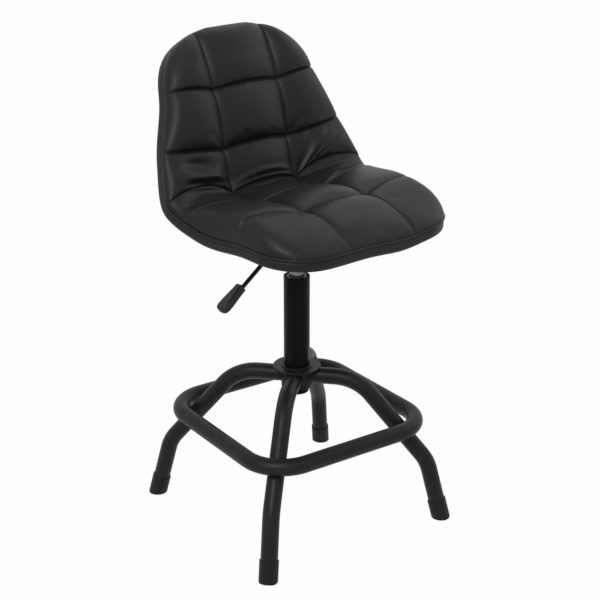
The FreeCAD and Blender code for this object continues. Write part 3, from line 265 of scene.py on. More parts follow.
def rgba(colour, scale=1.0):
    return (*[min(1.0, c * scale) for c in colour], 1.0)


class Surface(Wire):
    """The Object coordinates of a new material with one Principled shader."""

    def __init__(self, name, **constants):
        self.material = bpy.data.materials.new(name)
        self.material.use_nodes = True
        tree = self.material.node_tree
        self.shader = tree.nodes["Principled BSDF"]
        for key, given in constants.items():
            self.shader.inputs[key.replace("_", " ")].default_value = given
        super().__init__(tree, tree.nodes.new("ShaderNodeTexCoord").outputs[3])

    def feed(self, **inputs):
        """Link what varies over the surface to its shader."""
        for key, wire in inputs.items():
            self.tree.links.new(wire.socket, self.shader.inputs[key.replace("_", " ")])
        return self.material


def noise(place, scale, detail, roughness=0.5):
    return place.node("ShaderNodeTexNoise", Vector=place, Scale=scale, Detail=detail,
                      Roughness=roughness)


def drawn_noise(place, scale, detail):
    """Noise that is drawn out or squeezed along each axis."""
    return noise(place.node("ShaderNodeMapping", Vector=place, Scale=scale), 1.0, detail)


# finishes


def leather_material(colour):
    """Coated leather: pebble grain, faint creases, and paler and shinier where it is rubbed."""
    place = Surface("quilted_leather", Roughness=0.46, Specular_IOR_Level=0.2)
    grain = place.node("ShaderNodeTexVoronoi", {"feature": "SMOOTH_F1"}, Vector=place,
                       Scale=780.0, Smoothness=0.6, Randomness=0.9)
    fine = noise(place, 2600.0, 1.0)
    cloud = noise(place, 9.0, 3.0)
    blotch = noise(place, 60.0, 2.0)
    rubbed = cloud.ramp(0.42, 0.72) * 0.5 + blotch.ramp(0.5, 0.8) * 0.2
    return place.feed(
        Base_Color=rubbed.shades(colour, 0.88, 1.3),
        Roughness=0.5 - rubbed * 0.07 - grain * 0.05,
        Normal=(grain * -1.0 + fine * 0.25).bump(0.30, 0.00022))


def thread_material(colour):
    """Bonded thread: a fine twist across its length."""
    place = Surface("stitch_thread", Roughness=0.55)
    twist = noise(place, 5200.0, 1.0)
    return place.feed(
        Base_Color=twist.shades(colour, 0.9, 1.7),
        Normal=twist.bump(0.3, 0.0001))


def powder_material(colour):
    """Powder coat: fine orange peel with specks and a cloudy tone."""
    place = Surface("powder_coat", Roughness=0.4, Specular_IOR_Level=0.15)
    orange = noise(place, 620.0, 2.0, 0.45)
    speck = noise(place, 2400.0, 1.0)
    cloud = noise(place, 14.0, 3.0)
    return place.feed(
        Base_Color=cloud.ramp(0.35, 0.75).shades(colour, 0.9, 1.18),
        Roughness=0.36 + cloud * 0.08 + speck * 0.03,
        Normal=(orange + speck * 0.2).bump(0.14, 0.00018))


def weld_material(colour):
    """Coated weld bead: overlapping ripples under the powder coat."""
    place = Surface("coated_weld", Roughness=0.4)
    warped = place.node("ShaderNodeTexWave", {"wave_type": "RINGS", "rings_direction": "Z"},
                        Vector=place, Scale=150.0, Distortion=2.2, Detail=1.0)
    orange = noise(place, 620.0, 2.0)
    return place.feed(
        Base_Color=warped.shades(colour, 0.8, 1.2),
        Normal=(warped + orange * 0.3).bump(0.6, 0.0006))


def enamel_material(colour):
    """Smooth black enamel of the column, with a faint vertical draw and rub marks."""
    place = Surface("column_enamel", Roughness=0.3, Specular_IOR_Level=0.07)
    drawn = drawn_noise(place, (900.0, 900.0, 6.0), 2.0)
    rub = drawn_noise(place, (30.0, 30.0, 220.0), 3.0)
    return place.feed(
        Base_Color=rub.ramp(0.6, 0.85).shades(colour, 1.0, 2.0),
        Roughness=0.27 + drawn * 0.05 + rub.ramp(0.55, 0.8) * 0.08,
        Normal=(drawn + rub * 0.5).bump(0.05, 0.0002))


def ground_steel_material(name, colour, stretch):
    """Ground steel: lines as long as the stretch makes them, with a thin oil film."""
    place = Surface(name, Metallic=1.0, Roughness=0.3)
    lines = drawn_noise(place, stretch, 3.0)
    film = noise(place, 26.0, 3.0)
    return place.feed(
        Base_Color=(lines * 0.5 + film * 0.5).shades(colour, 0.82, 1.14),
        Roughness=0.24 + lines * 0.1 + film.ramp(0.5, 0.8) * 0.08,
        Normal=lines.bump(0.12, 0.0001))


def cast_alloy_material():
    """Machined alloy: turning rings and a dull skin."""
    place = Surface("machined_alloy", Metallic=1.0, Roughness=0.38)
    lines = drawn_noise(place, (40.0, 40.0, 3800.0), 2.0)
    return place.feed(
        Base_Color=lines.tint((0.42, 0.42, 0.43, 1.0), (0.6, 0.6, 0.61, 1.0)),
        Normal=lines.bump(0.15, 0.0001))


def moulded_material(name, colour, rough, grain, strength):
    """Moulded plastic or rubber: spark-eroded grain and faint flow marks."""
    place = Surface(name, Roughness=rough, Specular_IOR_Level=0.2)
    pits = noise(place, grain, 2.0, 0.6)
    flow = noise(place, 45.0, 2.0)
    return place.feed(
        Base_Color=flow.shades(colour, 0.85, 1.25),
        Roughness=rough - 0.05 + pits * 0.06 + flow.ramp(0.45, 0.8) * 0.06,
        Normal=pits.bump(strength, 0.00025))


def plywood_material():
    """Birch board: growth rings across the sheet and darker glue lines."""
    place = Surface("moulded_board", Roughness=0.55)
    grain = drawn_noise(place, (60.0, 7.0, 60.0), 4.0)
    plies = place.node("ShaderNodeTexWave", {"bands_direction": "Z"}, Vector=place,
                       Scale=110.0, Distortion=0.5)
    shade = grain * 0.7 + plies * 0.3
    return place.feed(
        Base_Color=shade.tint((0.36, 0.25, 0.14, 1.0), (0.58, 0.45, 0.29, 1.0)),
        Normal=grain.bump(0.2, 0.0003))


# meshes from arrays


def mesh_object(name, points, quads, uv=None, smooth=True):
    """One mesh object from arrays of points (..., 3) and quads (m, 4)."""
    mesh = bpy.data.meshes.new(name)
    points = np.ascontiguousarray(points, dtype=np.float32).reshape(-1, 3)
    quads = np.ascontiguousarray(quads, dtype=np.int32)
    mesh.vertices.add(len(points))
    mesh.vertices.foreach_set("co", points.ravel())
    mesh.loops.add(quads.size)
    mesh.loops.foreach_set("vertex_index", quads.ravel())
    mesh.polygons.add(len(quads))
    mesh.polygons.foreach_set("loop_start", np.arange(0, quads.size, quads.shape[1]))
    mesh.polygons.foreach_set("use_smooth", np.full(len(quads), smooth))
    if uv is not None:
        layer = mesh.uv_layers.new(name="UVMap")
        layer.data.foreach_set("uv", np.asarray(uv, np.float32)[quads.ravel()].ravel())
    mesh.update(calc_edges=True)
    mesh.validate()
    made = bpy.data.objects.new(name, mesh)
    bpy.context.scene.collection.objects.link(made)
    return made


def grid_quads(rows, columns, close_rows=False, close_columns=False, start=0):
    """Corner numbers of a grid's quads. A closed direction joins its last line to its first."""
    i = np.arange(rows if close_rows else rows - 1)[:, None]
    j = np.arange(columns if close_columns else columns - 1)[None]
    below, right = (i + 1) % rows, (j + 1) % columns
    corners = [i * columns + j, i * columns + right, below * columns + right,
               below * columns + j]
    return np.stack(np.broadcast_arrays(*corners), -1).reshape(-1, 4) + start


def merged(made):
    """Join points that coincide, and turn every face outwards."""
    work = bmesh.new()
    work.from_mesh(made.data)
    bmesh.ops.remove_doubles(work, verts=work.verts, dist=1e-5)
    bmesh.ops.dissolve_degenerate(work, edges=work.edges, dist=1e-7)
    bmesh.ops.recalc_face_normals(work, faces=work.faces)
    work.to_mesh(made.data)
    work.free()
    made.data.update()
    return made


def unit(vectors):
    return vectors / np.maximum(np.linalg.norm(vectors, axis=-1, keepdims=True), 1e-9)


def heading(path):
    """Direction of a closed line at each of its points."""
    return unit(np.roll(path, -1, 0) - np.roll(path, 1, 0))


def tube(line, ahead, up, radius, sides):
    """Round sections of a tube: a ring about each point, square to the line's direction."""
    aside = unit(np.cross(ahead, up))
    over = np.cross(aside, ahead)
    turn = np.linspace(0, 2 * np.pi, sides, endpoint=False)[:, None]
    return line[..., None, :] + radius * (np.cos(turn) * aside[..., None, :]
                                          + np.sin(turn) * over[..., None, :])


# the seat's form


def through(knots, values, at):
    """A smooth curve through values at knots: cubic, with slopes averaged by distance."""
    knots, values, at = (np.asarray(a, float) for a in (knots, values, at))
    step = np.diff(knots)
    slope = np.diff(values) / step
    lean = np.empty_like(values)
    lean[1:-1] = (slope[1:] * step[:-1] + slope[:-1] * step[1:]) / (step[1:] + step[:-1])
    lean[0], lean[-1] = slope[0], slope[-1]
    i = np.clip(np.searchsorted(knots, at, side="right") - 1, 0, len(knots) - 2)
    t = (at - knots[i]) / step[i]
    inside = ((1 + 2 * t) * (1 - t) ** 2 * values[i] + t * (1 - t) ** 2 * step[i] * lean[i]
              + t * t * (3 - 2 * t) * values[i + 1] + t * t * (t - 1) * step[i] * lean[i + 1])
    inside = np.where(at < knots[0], values[0] + lean[0] * (at - knots[0]), inside)
    return np.where(at > knots[-1], values[-1] + lean[-1] * (at - knots[-1]), inside)


def spaced(count, bunch):
    """Shares from 0 to 1 that lie closer together at both ends."""
    t = np.linspace(0, 1, count)
    return bunch * (1 - np.cos(np.pi * t)) / 2 + (1 - bunch) * t


def eased(t):
    """Smooth step of a share from 0 to 1."""
    return t * t * (3 - 2 * t)


def walked(x, y):
    """Distance along a flat line at each of its points."""
    return np.concatenate([[0.0], np.cumsum(np.hypot(np.diff(x), np.diff(y)))])


class SeatForm:
    """The seat as a sheet with three measures: across, along the quilt, and level above it."""

    def __init__(self, settings):
        self.set = settings
        self.tilt = np.radians(np.array(settings.tilt_deg))
        for key in settings.__annotations__:
            if key.endswith("_mm"):
                setattr(self, key[:-3], np.array(getattr(settings, key)) * MM)
        self.stray = np.stack([self.seam_bow, self.seam_arch, self.middle_arch], 1)
        self.seams = walked(self.seam_y, self.seam_z)
        self.length = self.seams[-1]

    def place(self, across, along, level):
        """Point of the seat: the section stands on the quilt line and leans by its tilt.

        The nose sags by a bell across it, which fades by a square towards the thigh seam.
        """
        lean = through(self.seams, self.tilt, along)
        y = through(self.seams, self.seam_y, along) - level * np.sin(lean)
        z = through(self.seams, self.seam_z, along) + level * np.cos(lean)
        near = np.clip(1 - along / self.seams[1], 0, 1) ** 2
        z = z - self.set.nose_sag * near * np.exp(-((across - SAG_PLACE) / SAG_REACH) ** 2)
        return np.stack(np.broadcast_arrays(across, y, z), -1)

    def width_at(self, along):
        """Half width: a smooth line, drawn in by a circle at the nose, superellipse at the top."""
        width = through(self.seams, self.half_width, along)
        corner = self.set.nose_corner
        near = np.clip((corner - along) / corner, 0, 1)
        width = width - corner * (1 - np.sqrt(1 - near ** 2))
        far = np.clip(1 - (self.length + 2 * MM - along) / self.set.top_corner, 0, 1)
        return width * (1 - far ** TOP_POWER) ** (1 / TOP_POWER)

    def rim_level(self, along):
        return through(self.seams, self.rim, along)

    def drift(self, stray, q, a):
        """How far a cross seam strays along the quilt at the grid's columns."""
        bow, arch, middle_arch = stray
        return bow * q ** 2 + arch * 4 * q * (1 - q) + middle_arch * 4 * a * (1 - a)

    def outline(self, count):
        """Right half of the outline, from the middle of the nose to the middle of the top."""
        along = self.length * spaced(4000, 1.0)
        wide = self.width_at(along)
        nose = np.linspace(0, wide[0], 200)[:-1]
        x = np.concatenate([nose, wide, [0.0]])
        s = np.concatenate([np.zeros(199), along, [self.length]])
        way = walked(x, s)
        spots = np.linspace(0, way[-1], count)
        return np.interp(spots, way, x), np.interp(spots, way, s)

    def ends(self, across):
        """Where the outline begins and ends along the quilt, for a distance across."""
        along = self.length * spaced(3000, 1.0)
        wide = self.width_at(along)
        low = along < self.seams[1]
        high = along > self.seams[5]
        start = np.interp(np.abs(across), wide[low], along[low])
        finish = np.interp(-np.abs(across), -wide[high], along[high])
        return start, finish

    def sheet(self, side, middle, rows, bunch=0.5):
        """Grid over the outline whose lines follow the seams.

        Between the thigh and blade seams its rows run straight across. The first and last
        rows of panels are patches spanned between four curves: the nearest seam, the
        lengthwise seam or the outline at each side, and the nose or top.
        """
        channel = self.set.channel
        u_mid = np.linspace(-1, 1, middle)
        u_side = spaced(side, bunch)[1:]
        q = np.concatenate([u_side[::-1], np.zeros(middle), u_side])
        a = np.concatenate([np.zeros(side - 1), (u_mid + 1) / 2, np.zeros(side - 1)])

        def across(wide):
            """Across of the grid's columns, for a half width of the seat."""
            x_side = channel + (wide - channel) * u_side
            return np.concatenate([-x_side[::-1], channel * u_mid, x_side])

        def patch(k, corner, count, first):
            """Spanned patch between a seam and the end of the seat."""
            t = spaced(count, bunch)[:, None]
            seam_x = across(self.width_at(self.seams[k] + self.seam_bow[k]))
            seam_s = self.seams[k] + self.drift(self.stray[k], q, a)
            reach = self.width_at(corner)
            end_x = across(reach)
            end_s = self.ends(end_x)[0 if first else 1]
            end_s[[0, -1]] = corner
            edge_s = corner + (seam_s[-1] - corner) * t[:, 0]
            edge_x = self.width_at(edge_s)
            edge_x[-1] = seam_x[-1]
            chan_s = end_s[side - 1] + (seam_s[side] - end_s[side - 1]) * t[:, 0]
            sign = np.sign(end_x)[None]
            outer_x = ((1 - t) * np.abs(end_x)[None] + t * np.abs(seam_x)[None]
                       + q * edge_x[:, None] - (1 - t) * q * reach - t * q * seam_x[-1])
            outer_s = ((1 - t) * end_s[None] + t * seam_s[None]
                       + (1 - q) * chan_s[:, None] + q * edge_s[:, None]
                       - (1 - t) * (1 - q) * chan_s[0] - t * (1 - q) * chan_s[-1]
                       - (1 - t) * q * corner - t * q * seam_s[-1])
            inner = (q == 0)[None]
            x = np.where(inner, end_x[None], sign * outer_x)
            s = np.where(inner, end_s[None] + (seam_s[None] - end_s[None]) * t, outer_s)
            return x, s, t[:, 0]

        x, s, t = patch(1, NOSE_CORNER, rows[0], True)
        blocks = [(x, s, t, 0)]
        for k in range(1, 5):
            t = spaced(rows[k], bunch)
            lower = self.seams[k] + (self.seams[k + 1] - self.seams[k]) * t
            stray = self.stray[k] + (self.stray[k + 1] - self.stray[k]) * t[:, None]
            s = lower[:, None] + self.drift(stray.T[..., None], q, a)
            edge = self.width_at(s[:, -1])[:, None]
            side_of = np.where(np.arange(len(q)) < side, -1.0, 1.0)
            x = np.where(q > 0, side_of * (channel + (edge - channel) * q),
                         channel * (2 * a - 1))
            blocks.append((x, s, t, k))
        x, s, t = patch(5, self.length - TOP_CORNER, rows[5], False)
        blocks.append((x[::-1], s[::-1], 1 - t[::-1], 5))
        kept = [[measure[n > 0:] for measure in (x, s, t, np.full(len(t), k))]
                for n, (x, s, t, k) in enumerate(blocks)]
        return (*(np.concatenate(measures) for measures in zip(*kept)), q, a)

    def edge_distance(self, x, s):
        """Distance of each grid point from the outline, in the seat's flat measures."""
        flat = np.stack([np.abs(x).ravel(), s.ravel()], 1)
        rim = np.stack(self.outline(900), 1)
        near = np.empty(len(flat))
        for start in range(0, len(flat), 6000):
            part = flat[start:start + 6000, None]
            gap = np.hypot(part[..., 0] - rim[:, 0], part[..., 1] - rim[:, 1])
            near[start:start + 6000] = gap.min(1)
        near = near.reshape(x.shape)
        near[[0, -1]] = near[:, [0, -1]] = 0
        return near


def ridges(across, along, wave, seed):
    """Soft folds: sums of sines whose phases come from a seeded generator."""
    rng = np.random.default_rng(seed)
    total = np.zeros(np.broadcast(across, along).shape)
    for k in range(6):
        angle = rng.uniform(0, np.pi)
        size = wave * rng.uniform(0.7, 1.6)
        total += np.sin((across * np.cos(angle) + along * np.sin(angle)) * 2 * np.pi / size
                        + rng.uniform(0, 2 * np.pi))
    return total / 6


def fold(across, along, start, end, width, reach=0.35):
    """A fold from start to end: a bell across its line that fades in and out along it."""
    start, end = np.array(start) * MM, np.array(end) * MM
    run = end - start
    length = np.hypot(*run)
    t = ((across - start[0]) * run[0] + (along - start[1]) * run[1]) / length ** 2
    off = ((across - start[0]) * run[1] - (along - start[1]) * run[0]) / length
    ends = np.clip(np.minimum((t + reach) / reach, (1 + reach - t) / reach), 0, 1)
    return np.exp(-(off / (width * MM)) ** 2) * eased(ends)


def quilt_level(form, x, s, b, row, q, a):
    """Level of the quilted face.

    Tufts hold the cover down where seams meet. Between them the seams rise by flat
    parabolas, and each panel is a pillow over its seams, halfway between the product of two
    parabolas and its root. The outer panels rise to the side roll. Seams sink by a bell of
    the distance from them, and fine puckers run off each seam.
    """
    settings = form.set
    crown, long_rise = form.crown[row][:, None], form.long_rise[row][:, None]
    b = b[:, None]
    first, last = (row == 0)[:, None], (row == 5)[:, None]
    middle = (q == 0)[None]
    leaning = np.where((row > 2)[:, None], b ** BACK_LEAN, b)
    pillow_b = 4 * leaning * (1 - leaning)
    rise_b = np.where(first, 1 - b ** 3, np.where(last, 1 - (1 - b) ** 3, pillow_b))
    pillow_b = np.where((first & (b < 0.5)) | (last & (b > 0.5)), 1.0, pillow_b)
    outward = np.sin(np.clip(q / SIDE_SHARE, 0, 1) * np.pi / 2)[None]
    pillow_a = np.where(middle, 4 * a * (1 - a), 1 - (1 - np.clip(q / SIDE_SHARE, 0, 1)) ** 2)
    both = np.clip(pillow_b * pillow_a, 0, 1)
    pillow = 0.5 * both ** 0.5 + 0.5 * both
    cross, lift = (rise[row][:, None] * (1 - b) + rise[row + 1][:, None] * b
                   for rise in (form.cross_rise, form.side_lift))
    carried_by = np.where(middle, cross * (4 * a * (1 - a)) ** 0.8, lift * outward)
    lean = np.where(middle, 0, q ** 1.5) * np.clip(form.rim_level(s) + 4 * MM, 0, 0.04)
    crown = crown * (1 - 0.4 * np.clip((q - 0.3) / 0.5, 0, 1)[None])
    level = crown * pillow + carried_by + long_rise * rise_b * (1 - outward) + lean
    gap_across = np.abs(np.abs(x) - settings.channel)
    gap_along = np.stack([np.abs(s - form.seams[k] - form.drift(form.stray[k], q, a))
                          for k in range(1, 6)]).min(0)
    width = settings.seam_width
    sink = np.maximum(np.exp(-(gap_across / width) ** 2), np.exp(-(gap_along / width) ** 2))
    deep = np.where(s > form.seams[3] + 0.02, 6.0 * MM, 3.0 * MM)
    tuft = deep * np.exp(-np.hypot(gap_across, gap_along) / 0.011)

    def ripple(run, pitch, sway, gap):
        """Waves along a seam, which are strongest a little beside it."""
        return (np.sin(run * 2 * np.pi / pitch + 3 * np.sin(sway)) * np.exp(-gap / 0.007)
                * (1 - np.exp(-gap / 0.002)))

    pucker = (ripple(s, 0.0125, s * 31.0 + np.sign(x), gap_across)
              + ripple(x, 0.0135, x * 27.0 + row[:, None], gap_along))
    return level - settings.seam_depth * sink - tuft + 0.12 * MM * pucker


def wrinkles(form, x, s):
    """Folds of this seat, each a bell across its line.

    A fan runs off the right tuft of the lumbar row, single folds lie beside other tufts,
    curved ones follow the fold seam, a bell dents the left lumbar, and sines ruffle it all.
    """
    hip, crease, waist = form.seams[2:5] / MM
    level = np.zeros(x.shape)
    for x0, s0, x1, s1, width, height in (
            (88, crease + 8, 124, crease + 70, 8.0, -5.0),
            (96, crease + 10, 146, crease + 64, 4.2, 3.6),
            (103, crease + 12, 156, crease + 60, 2.6, -2.6),
            (109, crease + 12, 166, crease + 56, 3.6, 3.0),
            (115, crease + 12, 174, crease + 50, 2.6, -2.4),
            (120, crease + 12, 180, crease + 44, 3.8, 2.4),
            (-172, crease + 38, -104, crease + 31, 7.0, 3.2),
            (-176, crease + 25, -116, crease + 22, 4.5, -2.4),
            (-170, crease + 15, -112, crease + 11, 5.0, 1.8),
            (-84, waist + 8, -112, waist + 34, 7.0, -1.6),
            (84, waist + 8, 112, waist + 34, 8.0, -2.4),
            (60, waist + 6, 30, waist + 20, 9.0, -1.5),
            (-60, waist + 6, -30, waist + 20, 9.0, -1.5),
            (90, crease - 6, 150, crease - 10, 7.0, -2.2),
            (88, hip + 6, 140, hip + 26, 6.0, 2.2),
            (-88, hip + 8, -150, hip + 30, 9.0, -2.2)):
        level += height * MM * fold(x, s, (x0, s0), (x1, s1), width)
    aside = x / MM - DENT_ACROSS
    above = s / MM - crease - DENT_ABOVE + DENT_SLOPE * aside
    level -= DENT_DEPTH * MM * np.exp(-((aside / DENT_REACH[0]) ** 2
                                        + (above / DENT_REACH[1]) ** 2))
    above = s / MM - crease - form.middle_arch[3] / MM
    inside = np.clip(1 - (x / form.set.channel) ** 2, 0, 1) ** 0.7
    for rise, width, height in ((4, 4.5, 1.6), (11, 4.5, -1.8), (19, 6.0, 2.6), (31, 8.0, -1.6)):
        off = (above - rise * inside ** 0.5) / width
        level += height * MM * inside * np.exp(-off ** 2)
    return level + ridges(x, s, 0.11, 4) * 0.7 * MM + ridges(x, s, 0.05, 9) * 0.2 * MM


def face_points(form, x, s, b, row, q, a, gap):
    """The cushion's face: the quilt, rolled down to its rim and swelled at the sides."""
    rim = form.rim_level(s)
    level = quilt_level(form, x, s, b, row, q, a)
    level = level + wrinkles(form, x, s) * np.clip(gap / FOLD_FADE, 0, 1)
    share = np.clip(gap / form.set.roll, 0, 1)
    rolled = (1 - (1 - share) ** ROLL_POWERS[0]) ** (1 / ROLL_POWERS[1])
    top = rim + RIM_LIP + (level - rim - RIM_LIP) * rolled
    swell = through(form.seams, form.side_swell, s) * 4 * share * (1 - share) * (q[None] > 0)
    return form.place(x + np.sign(x) * swell, s, top)


def inflated(form):
    """Cloth run on a coarse face: how far the cover moves when its padding presses on it.

    The cover is pinned at its seams and rim and cut a little large, so that air pressure
    lifts the panels and leaves slack folds beside the stitches. Returns the movement at each
    point and the grid's row and column places.
    """
    x, s, b, row, q, a = form.sheet(*CLOTH_GRID, bunch=0.0)
    gap = form.edge_distance(x, s)
    start = face_points(form, x, s, b, row, q, a, gap)
    side = CLOTH_GRID[0]
    cover = mesh_object("cover_trial", start, grid_quads(*x.shape))
    pinned = np.zeros(x.shape, bool)
    pinned[[0, -1]] = True
    pinned[:, [0, side - 1, -side, -1]] = True
    pinned[np.isclose(b, 0) | (np.isclose(b, 1) & (row < 5))] = True
    group = cover.vertex_groups.new(name=CLOTH["vertex_group_mass"])
    group.add(np.flatnonzero(pinned.ravel()).tolist(), 1.0, "REPLACE")
    cloth = cover.modifiers.new("air", "CLOTH")
    for key, given in CLOTH.items():
        setattr(cloth.settings, key, given)
    cloth.settings.effector_weights.gravity = 0.0
    cloth.collision_settings.use_collision = False
    cloth.point_cache.frame_start, cloth.point_cache.frame_end = 1, CLOTH_FRAMES
    scene = bpy.context.scene
    for step in range(1, CLOTH_FRAMES + 1):
        scene.frame_set(step)
    solved = cover.evaluated_get(bpy.context.evaluated_depsgraph_get())
    finish = np.empty(start.size)
    solved.to_mesh().vertices.foreach_get("co", finish)
    solved.to_mesh_clear()
    scene.frame_set(1)
    bpy.data.objects.remove(cover)
    moved = finish.reshape(start.shape) - start
    size = np.linalg.norm(moved, axis=2, keepdims=True)
    moved = moved * np.minimum(1, CLOTH_CAP / np.maximum(size, 1e-9))
    return moved, row + b, column_place(q, a)


def column_place(q, a):
    """Place of each grid column: -1 to 1 between the lengthwise seams, on to 2 at the rim."""
    half = len(q) // 2
    side = np.where(np.arange(len(q)) < half, -1.0, 1.0)
    return np.where(q > 0, side * (1 + q), 2 * a - 1)


def carried(moved, rows_from, columns_from, rows_to, columns_to):
    """Movement carried from a coarse grid to a fine one, linearly along both directions."""
    for axis, (known, wanted) in enumerate(((rows_from, rows_to), (columns_from, columns_to))):
        step = np.clip(np.searchsorted(known, wanted) - 1, 0, len(known) - 2)
        share = np.clip((wanted - known[step]) / (known[step + 1] - known[step]), 0, 1)
        share = share[:, None, None] if axis == 0 else share[None, :, None]
        moved = moved.take(step, axis) * (1 - share) + moved.take(step + 1, axis) * share
    return moved


def calmed(field, passes):
    """A field on a grid smoothed by its neighbours, with its border kept."""
    for _ in range(passes):
        inner = (field[:-2, 1:-1] + field[2:, 1:-1] + field[1:-1, :-2] + field[1:-1, 2:]) / 4
        field = field.copy()
        field[1:-1, 1:-1] = (field[1:-1, 1:-1] + inner) / 2
    return field


def make_cushion(form):
    """The quilted cushion: its face, and a lower face that lies on the board."""
    x, s, b, row, q, a = form.sheet(*FACE_GRID)
    gap = form.edge_distance(x, s)
    rim = form.rim_level(s)
    top_points = face_points(form, x, s, b, row, q, a, gap)
    moved = carried(*inflated(form), row + b, column_place(q, a))
    top_points = top_points + calmed(moved, 3)
    inward = np.clip(gap / FOAM_FILLET, 0, 1)
    low = np.minimum(lower_level(form, x, s) + FOAM, rim - 6 * MM)
    bottom = rim + RIM_LIP + (low - rim - RIM_LIP) * inward
    quads = grid_quads(*x.shape)
    quads = np.concatenate([quads, quads[:, ::-1] + x.size])
    flat = np.tile(np.stack([x, s], -1).reshape(-1, 2), (2, 1))
    points = np.stack([top_points, form.place(x, s, bottom)])
    return merged(mesh_object("quilted_cushion", points, quads, flat))


def lower_level(form, x, s):
    """Level of the cover's underside: flat under the middle, rising in a curve to the band."""
    z, tilt = (through(form.seams, line, s) for line in (form.seam_z, form.tilt))
    pan = (form.set.pan_level - z) / np.cos(np.clip(tilt, 0, 0.9))
    back = through(form.seams[3:], np.array(UNDER_BACK_MM) * MM, s)
    turned = np.clip((s - form.seams[2]) / (form.seams[3] - form.seams[2]), 0, 1)
    middle = np.where(s > form.seams[3], back, pan * (1 - turned) + back * turned)
    edge = form.rim_level(s) - form.set.band
    wide = form.width_at(s)
    flat = np.minimum(UNDER_FLAT, wide * 0.6)
    share = np.clip((np.abs(x) - flat) / np.maximum(wide - flat, 1e-4), 0, 1)
    return middle + (edge - middle) * share ** 1.35


def make_under_cover(form):
    """The under cover: its underside, rounded up into the border band, ending at the rim.

    A quarter circle curls the underside up at its edge. A bell across the band makes the
    sewn groove, which presses the band in.
    """
    x, s, *_ = form.sheet(*COVER_GRID)
    near = np.clip(1 - form.edge_distance(x, s) / COVER_CURL, 0, 1)
    level = lower_level(form, x, s) + COVER_CURL * (1 - np.sqrt(1 - near ** 2))
    base = form.place(x, s, level).reshape(-1, 3)
    spots = np.arange(x.size).reshape(x.shape)
    ring = np.concatenate([spots[0], spots[1:, -1], spots[-1, -2::-1], spots[-2:0:-1, 0]])
    rx, rs, start = (measure.ravel()[ring] for measure in (x, s, level))
    height = form.rim_level(rs) - 0.2 * MM - start
    lifts = 28
    rise = np.linspace(0, 1, lifts)[1:, None]
    groove = 1.3 * MM * np.exp(-(((1 - rise) * height - GROOVE_DROP) / (1.1 * MM)) ** 2)
    wall = form.place(rx - np.sign(rx) * groove * np.clip(np.abs(rx) / 0.02, 0, 1),
                      rs + groove * np.clip(1 - rs / 0.03, 0, 1), start + height * rise)
    points = np.concatenate([base, base[ring], wall.reshape(-1, 3)])
    quads = np.concatenate([
        grid_quads(*x.shape)[:, ::-1],
        grid_quads(lifts, len(ring), close_columns=True, start=x.size)])
    flat = np.stack([x, s], -1).reshape(-1, 2)
    flat = np.concatenate([flat, np.tile(flat[ring], (lifts, 1))])
    made = merged(mesh_object("under_cover_skin", points, quads, flat))
    cloth = made.modifiers.new("cloth_thickness", "SOLIDIFY")
    cloth.thickness, cloth.offset = COVER_THICKNESS, -1.0
    return made


def rim_path(form, count, inset, level, tuck):
    """Closed line round the seat at an inset from the outline and a level from the rim.

    Behind the back it is tucked further in, because the padding rolls over it there.
    """
    x, s = form.outline(count // 2 + 1)
    x, s = np.concatenate([x, -x[-2:0:-1]]), np.concatenate([s, s[-2:0:-1]])
    ahead = heading(np.stack([x, s], 1))
    inset = inset + tuck * eased(np.clip((s - form.seams[3] + 0.02) / 0.06, 0, 1))
    x, s = x - ahead[:, 1] * inset, s + ahead[:, 0] * inset
    return form.place(x, s, form.rim_level(s) + level), s


def make_piping(form):
    """Piping: a cord of round section in its leather, all round the rim."""
    path, _ = rim_path(form, 720, -0.4 * MM, 0.2 * MM, 3.2 * MM)
    rings = tube(path, heading(path), (0.0, 0.0, 1.0), form.set.piping, 10)
    return mesh_object("rim_piping", rings, grid_quads(len(path), 10, True, True))


def make_stitches(path, normal, pitch):
    """Stitches: short beads, thick in the middle, sunk at both ends, one after another.

    Each bead has six rings of five points along a half sine.
    """
    way = np.concatenate([[0.0], np.cumsum(np.linalg.norm(np.diff(path, axis=0), axis=1))])
    count = int(way[-1] / pitch)
    spots = (np.arange(count)[:, None] + np.linspace(0.08, 0.72, 6)[None]) * way[-1] / count
    line, up = (np.stack([np.interp(spots, way, field[:, k]) for k in range(3)], -1)
                for field in (path, normal))
    arch = np.sin(np.linspace(0.12, 0.88, 6) * np.pi)[None, :, None]
    line = line + up * (STITCH_RADIUS * (arch * 1.6 - 0.9))
    thick = STITCH_RADIUS * np.array([0.15, 0.8, 1.0, 1.0, 0.8, 0.15])[None, :, None, None]
    rings = tube(line, unit(np.gradient(line, axis=1)), up, thick, 5)
    one = grid_quads(6, 5, close_columns=True)
    quads = (one[None] + 30 * np.arange(count)[:, None, None]).reshape(-1, 4)
    return mesh_object("band_stitches", rings, quads)


def outward_normals(path):
    """Direction out of a closed line round the seat, level with it."""
    ahead = heading(path)
    out = path - path.mean(0)
    return unit(out - (out * ahead).sum(1, keepdims=True) * ahead)


# lever grip and column lip


